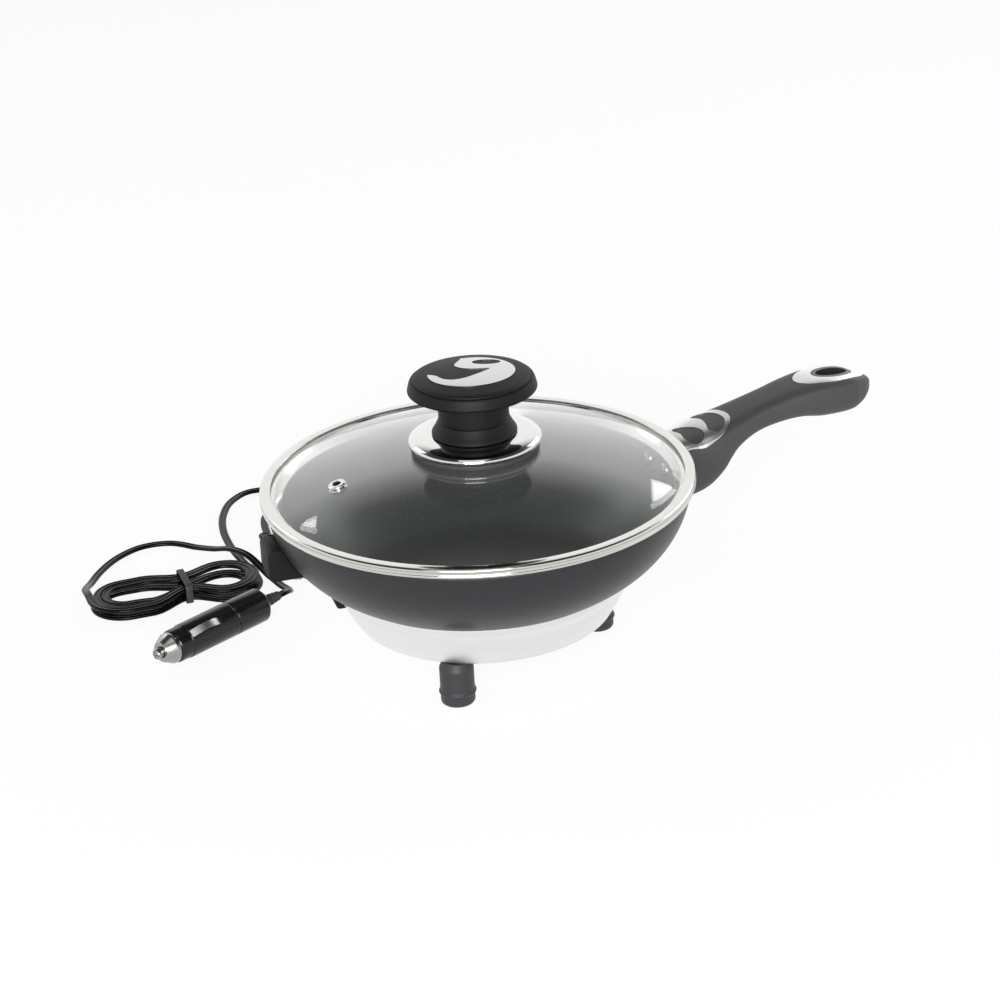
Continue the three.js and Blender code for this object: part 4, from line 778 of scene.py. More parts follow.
class Tree(Graph):
    """A Geometry Nodes tree with named inputs."""

    def __init__(self, name: str, inputs: dict[str, str]) -> None:
        """Starts the tree.

        Args:
            name: The tree's name.
            inputs: The socket type of each named input.
        """
        super().__init__(bpy.data.node_groups.new(name, "GeometryNodeTree"))
        face = self.tree.interface
        face.new_socket("Geometry", in_out="INPUT", socket_type="NodeSocketGeometry")
        for label, kind in inputs.items():
            face.new_socket(label, in_out="INPUT", socket_type=kind)
        face.new_socket("Material", in_out="INPUT", socket_type="NodeSocketMaterial")
        face.new_socket("Geometry", in_out="OUTPUT", socket_type="NodeSocketGeometry")
        self.given = self.tree.nodes.new("NodeGroupInput")

    def close(self, geometry: Wire) -> None:
        """Ends the tree with real geometry and its material."""
        real = self.node("GeometryNodeRealizeInstances", None, {"Geometry": geometry})
        values = {"Geometry": real, "Material": "Material"}
        done = self.node("GeometryNodeSetMaterial", None, values)
        self.node("NodeGroupOutput", None, {0: done})

    def run(self, data: Any, finish: Finish, **values: Any) -> bpy.types.Mesh:
        """Runs the tree on a mesh or curve.

        Args:
            data: The mesh or curve that goes in.
            finish: The material of what comes out.
            values: A value for each named input, its spaces given as underscores.

        Returns:
            The finished mesh.
        """
        item = temporary(data)
        modifier = item.modifiers.new("tree", "NODES")
        modifier.node_group = self.tree
        given = {key.replace("_", " "): value for key, value in values.items()}
        given["Material"] = finish.material()
        for socket in self.tree.interface.items_tree:
            if socket.in_out == "INPUT" and socket.name in given:
                modifier[socket.identifier] = given[socket.name]
        return evaluated(item)


def copies_tree() -> Tree:
    """A tree that repeats its geometry about the vertical axis and along a line."""
    inputs = dict.fromkeys(("First Angle", "Step Angle", "Step Scale"), "NodeSocketFloat")
    inputs.update({"Count": "NodeSocketInt", "Step Offset": "NodeSocketVector"})
    tree = Tree("repeated_pieces", inputs)
    index = tree.node("GeometryNodeInputIndex")
    values = {"Vector": "Step Offset", "Scale": index}
    along = tree.node("ShaderNodeVectorMath", {"operation": "SCALE"}, values)
    turn = index * "Step Angle" + "First Angle"
    size = 1.0 - index * "Step Scale"
    points = tree.node("GeometryNodePoints", None, {"Count": "Count", "Position": along})
    rotation = tree.node("ShaderNodeCombineXYZ", None, {"Z": turn})
    scale = tree.node("ShaderNodeCombineXYZ", None, {"X": size, "Y": size, "Z": 1.0})
    values = {"Points": points, "Instance": "Geometry", "Rotation": rotation, "Scale": scale}
    tree.close(tree.node("GeometryNodeInstanceOnPoints", None, values))
    return tree


def around(
    copies: Tree, solid: Solid, finish: Finish, count: int, first: float, step: float
) -> bpy.types.Mesh:
    """Copies of a solid about the vertical axis.

    Args:
        copies: The tree that repeats its geometry.
        solid: What is repeated.
        finish: Its material.
        count: How many there are.
        first: Degrees by which the first is turned.
        step: Degrees from each to the next.

    Returns:
        All the copies as one mesh.
    """
    turns = {"First_Angle": math.radians(first), "Step_Angle": math.radians(step)}
    still = {"Step_Offset": (0, 0, 0), "Step_Scale": 0.0}
    return copies.run(as_mesh(solid), finish, Count=count, **turns, **still)


def sweep_tree() -> Tree:
    """A tree that runs a profile along its curve."""
    tree = Tree("swept_profile", {"Profile": "NodeSocketObject"})
    profile = tree.node("GeometryNodeObjectInfo", None, {"Object": "Profile"}, "Geometry")
    values = {"Curve": "Geometry", "Profile Curve": profile, "Fill Caps": True}
    tree.close(tree.node("GeometryNodeCurveToMesh", None, values))
    return tree


def coil_tree() -> Tree:
    """A tree that makes a spiral or helix of rectangular wire."""
    own_inputs = ("Start Radius", "End Radius", "Height")
    names = ("Turns", *own_inputs, "Strip Width", "Strip Height")
    tree = Tree("coiled_strip", dict.fromkeys(names, "NodeSocketFloat"))
    values = {"Resolution": 48, "Rotations": "Turns", **{name: name for name in own_inputs}}
    spiral = tree.node("GeometryNodeCurveSpiral", None, values)
    upright = tree.node("GeometryNodeSetCurveNormal", {"mode": "Z_UP"}, {"Curve": spiral})
    values = {"Width": "Strip Width", "Height": "Strip Height"}
    strip = tree.node("GeometryNodeCurvePrimitiveQuadrilateral", None, values)
    values = {"Curve": upright, "Profile Curve": strip, "Fill Caps": True}
    tree.close(tree.node("GeometryNodeCurveToMesh", None, values))
    return tree


def curve_data(points: Sequence[Sequence[float]], cyclic: bool = False) -> bpy.types.Curve:
    """A curve of one straight-sided spline, whose sections stand upright."""
    data = bpy.data.curves.new("line", "CURVE")
    data.dimensions = "3D"
    data.twist_mode = "Z_UP"
    line = data.splines.new("POLY")
    line.points.add(len(points) - 1)
    for point, place in zip(line.points, points):
        x, y, *rest = place
        point.co = (x, y, rest[0] if rest else 0.0, 1.0)
    line.use_cyclic_u = cyclic
    return data


@dataclass
class Lamp:
    """A rectangular soft light, sized and placed in metres from the pan's axis."""

    name: str
    place: Place
    size: Point
    power: float
    roll: float = 0.0
    aim: Place = (0.0, 0.0, 0.08)

    def build(self) -> None:
        """Adds the light, facing its aim."""
        data = bpy.data.lights.new(self.name, "AREA")
        data.shape = "RECTANGLE"
        data.size, data.size_y = self.size
        data.energy = self.power
        lamp = link(self.name, data)
        lamp.location = PAN_AXIS + Vector(self.place)
        away = Vector(self.aim) - Vector(self.place)
        lamp.rotation_mode = "QUATERNION"
        turn = Quaternion((0.0, 0.0, 1.0), math.radians(self.roll))
        lamp.rotation_quaternion = away.to_track_quat("-Z", "Y") @ turn


LAMPS = (
    Lamp("left_softbox", (-0.421, 1.265, 1.037), (0.4, 0.5), 2.3, 48.0),
    Lamp("right_softbox", (1.269, 0.626, 0.932), (0.5, 0.6), 3.8, 36.0),
    Lamp("front_key", (-0.95, -1.8, 0.85), (1.2, 0.8), 50.0),
    Lamp("top_fill", (-0.45, -0.6, 2.2), (1.2, 1.2), 5.0),
)


@dataclass
class Studio:
    """Camera, lights and the white surroundings."""

    azimuth: float = -24.0
    elevation: float = 23.47
    roll: float = -3.25
    distance: float = 1464.0
    target_height: float = 106.0
    lens: float = 94.25
    sensor: float = 36.0
    shift: Point = (0.0228, -0.0235)
    clip: Point = (0.05, 50.0)
    floor_reach: float = 4.0
    floor_grey: float = 0.9
    floor_glow: float = 0.9
    sky_stops: tuple[Point, ...] = (
        (0.0, 1.0), (0.47, 1.0), (0.56, 0.62), (0.66, 0.12), (0.75, 0.05), (1.0, 0.04),
    )
    sky_strength: float = 1.35

    def camera(self) -> None:
        """Adds the camera at the photograph's viewing angle."""
        a, e = math.radians(self.azimuth), math.radians(self.elevation)
        back = Vector((math.sin(a) * math.cos(e), -math.cos(a) * math.cos(e), math.sin(e)))
        target = PAN_AXIS + UP * self.target_height * MM
        data = bpy.data.cameras.new("camera")
        data.lens = self.lens
        data.sensor_width = self.sensor
        data.shift_x, data.shift_y = self.shift
        data.clip_start, data.clip_end = self.clip
        camera = link("camera", data)
        camera.location = target + back * self.distance * MM
        facing = (-back).to_track_quat("-Z", "Y").to_matrix().to_4x4()
        rolled = facing @ Matrix.Rotation(math.radians(self.roll), 4, "Z")
        camera.rotation_mode = "QUATERNION"
        camera.rotation_quaternion = rolled.to_quaternion()
        bpy.context.scene.camera = camera

    def world(self) -> None:
        """White surroundings, darker overhead for what mirrors them."""
        world = bpy.data.worlds.new("surroundings")
        bpy.context.scene.world = world
        shader = Shader(world)
        direction = shader.node("ShaderNodeTexCoord", output="Generated")
        height = shader.node("ShaderNodeSeparateXYZ", None, {0: direction}, "Z")
        sky = shader.node("ShaderNodeValToRGB", {"stops": self.sky_stops}, {0: height})
        values = {"Color": sky, "Strength": self.sky_strength}
        lit = shader.node("ShaderNodeBackground", None, values)
        values = {"Color": rgba((1, 1, 1)), "Strength": 1.0}
        white = shader.node("ShaderNodeBackground", None, values)
        seen = shader.node("ShaderNodeLightPath", output="Is Camera Ray")
        mixed = shader.node("ShaderNodeMixShader", None, {0: seen, 1: lit, 2: white})
        shader.node("ShaderNodeOutputWorld", None, {"Surface": mixed})

    def floor(self) -> None:
        """A plain pale floor that still takes the object's shadow."""
        reach = self.floor_reach
        mesh = bpy.data.meshes.new("floor")
        corners = rectangle(-reach, -reach, reach, reach)
        mesh.from_pydata([(x, y, 0) for x, y in corners], [], [(0, 1, 2, 3)])
        material = bpy.data.materials.new("floor_white")
        shader = Shader(material)
        grey = rgba([self.floor_grey] * 3)
        paint = shader.node("ShaderNodeBsdfDiffuse", None, {"Color": grey})
        glow = shader.node("ShaderNodeEmission", None, {"Color": rgba((1, 1, 1)), "Strength": 1.0})
        rays = [
            shader.node("ShaderNodeLightPath", output=name)
            for name in ("Is Camera Ray", "Is Glossy Ray", "Is Transmission Ray")
        ]
        direct = rays[0].highest(rays[1]).highest(rays[2])
        share = self.floor_glow * direct
        mixed = shader.node("ShaderNodeMixShader", None, {0: share, 1: paint, 2: glow})
        shader.node("ShaderNodeOutputMaterial", None, {"Surface": mixed})
        mesh.materials.append(material)
        link("floor", mesh)

    def build(self) -> None:
        """Sets up everything but the object."""
        self.camera()
        for lamp in LAMPS:
            lamp.build()
        self.world()
        self.floor()
        bpy.context.scene.view_settings.view_transform = "Standard"


@dataclass
class Levels:
    """Heights that the sub-assemblies share, from the floor up, in millimetres."""

    gap: float = 0.3
    foot_height: float = 25.7
    skirt_height: float = 26.6
    bowl_height: float = 47.8
    floor_drop: float = 7.4
    pan_floor: float = 3.0
    band_height: float = 5.4
    flange: float = 1.2
    cover: float = 1.0

    def __post_init__(self) -> None:
        """Works out the heights that follow from the sizes, mostly from the bottom up."""
        self.skirt_bottom = self.foot_height + self.gap
        self.cover_bottom = self.skirt_bottom + self.flange + self.gap
        self.cover_top = self.cover_bottom + self.cover
        self.skirt_top = self.skirt_bottom + self.skirt_height
        self.part_line = self.skirt_top + self.gap
        self.cooking_floor = self.part_line - self.floor_drop
        self.underside = self.cooking_floor - self.pan_floor
        self.rim_top = self.part_line + self.bowl_height
        self.band_bottom = self.rim_top + self.gap
        self.band_top = self.band_bottom + self.band_height


@dataclass
class Pan:
    """The bowl, its curves and its stud."""

    levels: Levels
    rim_radius: float = 119.5
    waist_radius: float = 86.0
    wall: float = 2.6
    floor_radius: float = 60.0
    underside_radius: float = 62.0
    stud_radius: float = 3.0
    stud_bottom: float = 30.6
    swell_share: float = 0.866
    knee_share: float = 0.347
    lip_share: float = 0.65
    lip_steps: int = 8
    floor_curve_share: float = 0.35
    spigot_inset: float = 1.2
    spigot_drop: float = 2.5

    def outer(self, steps: int = 28) -> list[Point]:
        """The bowl's outer face from the part line up."""
        lv = self.levels
        reach = self.rim_radius - self.waist_radius
        knee = lv.part_line + lv.bowl_height * self.knee_share
        return bezier(
            (self.waist_radius, lv.part_line),
            (self.waist_radius + reach * self.swell_share, knee),
            (self.rim_radius, lv.rim_top - self.wall * self.lip_share),
            steps,
        )

    def keep_out(self, clearance: float) -> Shape:
        """Everything within the wall, grown by a clearance."""
        lv = self.levels
        outside = beside(self.outer(), -clearance)
        top = lv.band_bottom - lv.gap
        low = outside[0][1]
        return turned([(0, low), *outside, (outside[-1][0], top), (0, top)])

    def radius_at(self, height: float) -> float:
        """Outside radius of the bowl at a height."""
        curve = self.outer(200)
        return min(curve, key=lambda p: abs(p[1] - height))[0]

    def build(self, skirt_inner: float) -> None:
        """Adds the pan.

        Args:
            skirt_inner: Inside radius of the base ring at its top.
        """
        lv = self.levels
        outer = self.outer()
        inner = beside(outer, self.wall)[::-1]
        centre = Vector(((outer[-1][0] + inner[0][0]) / 2, (outer[-1][1] + inner[0][1]) / 2))
        arm = Vector(outer[-1]) - centre
        lip = []
        for i in range(1, self.lip_steps):
            turn = Matrix.Rotation(math.pi * i / self.lip_steps, 2)
            lip.append(tuple(centre + turn @ arm))
        collar = skirt_inner - lv.gap
        share = self.floor_curve_share
        spigot = (collar - self.spigot_inset, lv.part_line - self.spigot_drop)
        low, high = self.underside_radius, self.floor_radius
        pull = (low + (spigot[0] - low) * share, lv.underside)
        belly = bezier((low, lv.underside), pull, spigot, 10)
        pull = (high + (inner[-1][0] - high) * share, lv.cooking_floor)
        hollow = bezier(inner[-1], pull, (high, lv.cooking_floor), 14)
        outside = [
            (0, self.stud_bottom),
            (self.stud_radius, self.stud_bottom),
            (self.stud_radius, lv.underside),
            *belly,
            (collar, lv.part_line),
            *outer,
            *lip[: len(lip) // 2],
        ]
        middle = (self.floor_radius / 2, lv.cooking_floor)
        inside = [*lip[len(lip) // 2 :], *inner, *hollow[1:], middle, (0, lv.cooking_floor)]
        mesh = as_mesh(turned([*outside, *inside], RING_STEPS))
        for finish in (OUTER_ENAMEL, INNER_COATING):
            mesh.materials.append(finish.material())
        first_inside = RING_STEPS * len(outside)
        for face in mesh.polygons:
            face.material_index = int(face.index >= first_inside)
        add_piece("pan", mesh, OUTER_ENAMEL, Body.SKILLET, ["pan_body"], 40.0)


@dataclass
class Base:
    """Brushed ring, bottom cover, feet with their fastenings, and the heater."""

    levels: Levels
    copies: Tree
    coils: Tree
    foot_radius_below: float = 73.5
    top_radius: float = 85.6
    wall: float = 1.4
    bulge: float = 1.6
    chamfer: float = 1.0
    flange_width: float = 15.0
    turn: float = -9.0
    foot_circle: float = 67.0
    foot_radius: float = 9.6
    foot_well: float = 4.8
    plate_radius: float = 72.0
    vent_count: int = 12
    screw_radius: float = 2.0
    nut_height: float = 2.8
    nut_flats: float = 7.0
    heater_radius: float = 56.0
    ribbon_start: float = 18.0
    ribbon_width: float = 4.0
    ribbon_turns: float = 4.0

    def outer(self, steps: int = 20) -> list[Point]:
        """The ring's outer face from the bottom up."""
        lv = self.levels
        middle = (self.foot_radius_below + self.top_radius) / 2
        return bezier(
            (self.foot_radius_below, lv.skirt_bottom + self.chamfer),
            (middle + self.bulge, lv.skirt_bottom + lv.skirt_height / 2 - self.bulge),
            (self.top_radius, lv.skirt_top),
            steps,
        )

    def ring(self) -> None:
        """Adds the brushed ring with its in-turned flange."""
        lv = self.levels
        outer = self.outer()
        flange_top = lv.skirt_bottom + lv.flange
        inner = [(r - self.wall, z) for r, z in outer if z > flange_top + 0.5][::-1]
        flange_inner = self.foot_radius_below - self.flange_width
        corner = (self.foot_radius_below - 0.3, lv.skirt_bottom)
        start = rounded([(flange_inner, lv.skirt_bottom), corner, outer[2]], 1.6, False)
        lip = rounded([outer[-2], outer[-1], inner[0], inner[1]], 0.35, False, 3)
        flange = [(inner[-1][0], flange_top), (flange_inner, flange_top)]
        profile = [*start[:-1], *outer[2:-1], *lip[1:-1], *inner[1:], *flange]
        ring = turned(profile, RING_STEPS)
        add_piece("base_ring", ring, SPUN_ALUMINIUM, Body.SKILLET, ["base_skirt"])

    def cover(self) -> None:
        """Adds the bottom cover with a pressed step and a vent row."""
        lv = self.levels
        low, high = lv.cover_bottom, lv.cover_top
        step = rounded([(30, low), (34, low + 0.6), (46, low + 0.6), (50, low)], 1.2, False)
        edge = self.plate_radius
        profile = [(0, low), *step, (edge, low), (edge, high), (0, high)]
        slot = prism(rounded(rectangle(20, -1.6, 28, 1.6), 1.5), low - 3, high + 3)
        pitch = 360 / self.vent_count
        slots = around(self.copies, slot, ZINC_STEEL, self.vent_count, pitch / 2, pitch)
        mesh = carved(turned(profile), slots)
        add_piece("bottom_plate", mesh, ZINC_STEEL, Body.SKILLET, ["bottom_cover"])

    def _on_feet(self, name: str, stem: str, source: Solid, finish: Finish) -> None:
        """Adds a foot's piece at all three feet; its nodes' names start with the stem."""
        mesh = as_mesh(source)
        mesh.transform(Matrix.Translation((self.foot_circle, 0, 0)))
        made = around(self.copies, mesh, finish, 3, self.turn, 120.0)
        nodes = [f"{stem}_{side}" for side in ("front", "right", "back")]
        add_piece(name, made, finish, Body.SKILLET, nodes)

    def feet(self) -> None:
        """Adds the feet, their screws and their nuts."""
        lv = self.levels
        top, radius, well = lv.foot_height, self.foot_radius, self.foot_well
        bead, hole = radius + 0.8, self.screw_radius + lv.gap
        profile = rounded(
            [
                (well, 0), (radius - 0.9, 0), (radius, 1.4), (radius, 5.8), (bead, 6.6),
                (bead, 7.4), (radius, 8.2), (radius, top - 4), (7.4, top), (hole, top),
                (hole, 10), (well, 10),
            ],
            0.7,
        )
        self._on_feet("feet", "foot", turned(profile, 64), FOOT_PLASTIC)
        shaft, low = self.screw_radius, lv.cover_top + lv.gap
        tip = low + self.nut_height + lv.gap
        head = rounded([(3.4, 7.1), (4.5, 8.4), (4.5, 9.7)], 1.2, False)
        screw = turned([(0, 7.1), *head, (shaft, 9.7), (shaft, tip), (0, tip)], 40)
        arm = prism(rounded(rectangle(-3, -0.5, 3, 0.5), 0.3), 5, 8.4)
        crossed = carved(screw, arm, moved(arm, spin(90)))
        self._on_feet("foot_screws", "foot_screw", crossed, ZINC_STEEL)
        corner = self.nut_flats / math.sqrt(3)
        turns = [math.pi * i / 3 for i in range(6)]
        hexagon = [(corner * math.cos(turn), corner * math.sin(turn)) for turn in turns]
        nut = carved(prism(hexagon, low, low + self.nut_height), rod(hole, low - 3, low + 6, 32))
        self._on_feet("foot_nuts", "foot_nut", bevelled(nut, 0.25), ZINC_STEEL)

    def heater(self) -> None:
        """Adds the heater's discs and ribbon, and dresses its small parts."""
        lv = self.levels
        top = lv.underside - lv.gap
        stack = [
            ("mica_upper", 0.8, 6.0, MICA_SHEET), ("heating_element", 1.2, 0.0, RIBBON),
            ("mica_lower", 0.8, 6.0, MICA_SHEET), ("insulation_pad", 3.0, 6.0, WOOL_FELT),
            ("pressure_plate", 1.0, 3.3, ZINC_STEEL),
        ]
        for node, thickness, hole, finish in stack:
            low = top - thickness
            if node == "heating_element":
                shape: Any = self.coils.run(
                    as_mesh(([], [])), finish, Turns=self.ribbon_turns, Height=0.0,
                    Start_Radius=self.ribbon_start, End_Radius=self.heater_radius - self.ribbon_width,
                    Strip_Width=thickness, Strip_Height=self.ribbon_width,
                )
                shape.transform(Matrix.Translation((0, 0, top - thickness / 2)))
            else:
                corners = rectangle(hole, low, self.heater_radius, top)
                shape = turned(rounded(corners, 0.2, True, 2))
            add_piece(f"{node}_disc", shape, finish, Body.SKILLET, [node])
            top = low - lv.gap
        small = (("clamp_nut", ZINC_STEEL), ("thermal_cutout", CERAMIC), ("terminal_block", CERAMIC))
        for node, finish in small:
            dress_node(node, finish)

    def build(self) -> None:
        """Adds the whole base."""
        self.ring()
        self.cover()
        self.feet()
        self.heater()


# Sections of the handle: share of its length, then its top as a share of the rise, its
# underside as a share of the drop and its half width as a share of the widest.
HANDLE_ROWS = (
    (0.0, -0.52, -1.0, 0.8), (0.127, -0.44, -1.0, 0.86), (0.183, -0.3, -1.0, 0.94),
    (0.226, -0.22, -0.976, 0.97), (0.277, -0.07, -0.9, 1.0), (0.328, 0.04, -0.74, 0.97),
    (0.358, 0.11, -0.59, 0.915), (0.396, 0.2, -0.43, 0.845), (0.484, 0.44, -0.26, 0.745),
    (0.579, 0.67, -0.195, 0.745), (0.679, 0.89, -0.185, 0.83), (0.773, 1.0, -0.245, 0.9),
    (0.867, 0.95, -0.255, 0.895), (0.931, 0.8, -0.21, 0.7), (0.97, 0.62, -0.125, 0.47),
)
# Outlines of the front inlay and its two insets: shares of its length and half width.
FRONT_OUTLINE = (
    (0, -0.84), (0.25, -0.94), (0.52, -1.04), (0.78, -0.92), (0.95, -0.55), (1.01, -0.05),
    (0.95, 0.5), (0.78, 0.86), (0.54, 0.98), (0.26, 0.93), (0, 0.84),
)
OUTER_COMMA = (
    (0.6, 0.72), (0.67, 0.3), (0.65, -0.15), (0.6, -0.58), (0.69, -0.84), (0.84, -0.62),
    (0.92, -0.2), (0.9, 0.28), (0.78, 0.68),
)
INNER_COMMA = (
    (0.24, 0.42), (0.27, -0.05), (0.24, -0.52), (0.29, -0.86), (0.44, -0.88), (0.53, -0.5),
    (0.49, 0.02), (0.34, 0.44),
)


@dataclass
class Handle:
    """Handle with its inlays, eyelet, bracket and rivets."""

    levels: Levels
    pan: Pan
    copies: Tree
    start: float = 98.0
    length: float = 159.0
    rise: float = 13.5
    drop: float = 41.0
    half_width: float = 19.3
    top_roundness: float = 4.2
    side_roundness: float = 2.5
    front_trim: Place = (118.0, 42.0, 17.0)
    end_trim: Place = (229.9, 46.2, 26.0)
    hang_hole: Place = (232.0, 20.5, 11.2)
    eyelet_wall: float = 2.6
    band_radius: float = 122.0
    rivet_spread: float = 5.1
    rivet_share: float = 0.69
    rivet_radius: float = 2.2
    bracket_sheet: float = 1.6
    tip_share: float = 0.2

    def section(
        self, x: float, top: float, bottom: float, half: float, points: int = 56
    ) -> list[Vector]:
        """One section: nearly flat on top, with a soft crease, and round below."""
        ring = []
        for i in range(points):
            angle = 2 * math.pi * i / points
            c, s = math.cos(angle), math.sin(angle)
            power = 2 / (self.top_roundness if s > 0 else self.side_roundness)
            across = math.copysign(abs(c) ** power, c)
            upward = math.copysign(abs(s) ** power, s)
            ring.append(Vector((x, across * half, (top + bottom) / 2 + upward * (top - bottom) / 2)))
        return ring

    def body(self, growth: float) -> Shape:
        """The handle's body, grown or shrunk all round."""
        band = self.levels.band_top
        level = self.tip_share * self.rise / self.drop
        under = level + (HANDLE_ROWS[-1][2] - level) * 0.55
        end = ((0.991, 0.42, under, 0.26), (1.0, self.tip_share, level, 0.0))
        rows = spline((*HANDLE_ROWS, *end), 6)[:-1]
        rings = []
        for share, top, bottom, wide in rows:
            rings.append(
                self.section(
                    self.start + self.length * share,
                    band + self.rise * top + growth,
                    band + self.drop * bottom - growth,
                    self.half_width * wide + growth,
                )
            )
        first = sum(rings[0], Vector()) / len(rings[0])
        last = Vector((self.start + self.length + growth, 0, band + self.rise * self.tip_share))
        return loft(rings, first, last)

    def _plan(self, shares: Sequence[Point]) -> list[Point]:
        """Shares of the front inlay's length and half width as a smooth outline in plan."""
        start, length, half = self.front_trim
        return flat_spline([(start + length * a, half * b) for a, b in shares], 6, closed=True)

    def _inlay(self, outline: list[Point], holes: list[list[Point]], low: float) -> Inlay:
        """An inlay in the handle's top, cut down to a height."""
        span = (low, self.levels.band_top + 2 * self.rise)
        return Inlay(outline, holes, span, self.body, self.levels.gap)

    def lid_keep_out(self) -> Shape:
        """Room for the lid's band and its lift."""
        lv = self.levels
        radius, low = self.band_radius + lv.gap, lv.band_bottom - lv.gap
        return rod(radius, low, low + 60, RING_STEPS)

    def grip(self) -> None:
        """Adds the handle's body, inlays and eyelet."""
        lv = self.levels
        commas = [self._plan(OUTER_COMMA), self._plan(INNER_COMMA)]
        front = self._inlay(self._plan(FRONT_OUTLINE), commas, lv.band_top - self.rise)
        place, length, width = self.end_trim
        end = oval((place, 0), length, width)
        hole_at, hole_length, hole_width = self.hang_hole
        around_hole = 2 * self.eyelet_wall
        eyelet = oval((hole_at, 0), hole_length + around_hole, hole_width + around_hole)
        hole = oval((hole_at, 0), hole_length, hole_width)
        low, high = lv.band_top - self.drop, lv.band_top + 2 * self.rise
        room = (self.pan.keep_out(lv.gap), self.lid_keep_out())
        body = carved(
            self.body(0.0),
            *room,
            front.recess(),
            prism(grown(eyelet, 0.15), low, high),
            self._inlay(end, [], lv.band_top).recess(),
        )
        add_piece("handle", body, HANDLE_PLASTIC, Body.SKILLET, ["handle_body"], 38.0)
        front_trim = carved(front.piece(), *room)
        add_piece("front_inlay", front_trim, SATIN_SILVER, Body.SKILLET, ["handle_front_trim"])
        end_trim = self._inlay(end, [grown(eyelet, lv.gap)], lv.band_top).piece()
        add_piece("end_inlay", end_trim, SATIN_SILVER, Body.SKILLET, ["handle_end_trim"])
        ring = carved(prism(eyelet, low, high), self.body(front.proud), way=Cut.SHARED)
        ring = carved(ring, prism(hole, low - 2, high + 2))
        add_piece("eyelet", ring, EYELET_PLASTIC, Body.SKILLET, ["hang_eyelet"])

    def rivets(self) -> None:
        """Adds the rivets, whose domed heads lie inside the pan."""
        lv = self.levels
        height = lv.part_line + lv.bowl_height * self.rivet_share
        curve = self.pan.outer(200)
        index = min(range(len(curve)), key=lambda i: abs(curve[i][1] - height))
        before, after = curve[index - 1], curve[index + 1]
        tangent = Vector((after[0] - before[0], after[1] - before[1])).normalized()
        tilt = math.atan2(tangent.y, -tangent.x)
        inside, outside = -self.pan.wall, 2 * lv.gap + self.bracket_sheet
        seat, tail, shaft = inside + 0.2, outside + 1.2, self.rivet_radius
        dome = [(0, inside - 2.6), (2.4, inside - 2.4), (4.1, inside - 1.3), (4.6, seat)]
        profile = [
            *rounded(dome, 1.6, False),
            (shaft, seat), (shaft, outside), (3.6, outside), (3.4, tail), (0, tail),
        ]
        place = Matrix.Translation((curve[index][0], 0, height)) @ Matrix.Rotation(tilt, 4, "Y")
        mesh = as_mesh(moved(turned(profile, 48), place))
        spread = self.rivet_spread
        made = around(self.copies, mesh, RIVET_COATING, 2, -spread, 2 * spread)
        nodes = ["handle_rivet_right", "handle_rivet_left"]
        add_piece("handle_rivets", made, RIVET_COATING, Body.SKILLET, nodes)

    def build(self) -> None:
        """Adds the handle and dresses what it hides."""
        self.grip()
        self.rivets()
        for node in ("handle_bracket", "handle_screw"):
            dress_node(node, ZINC_STEEL)


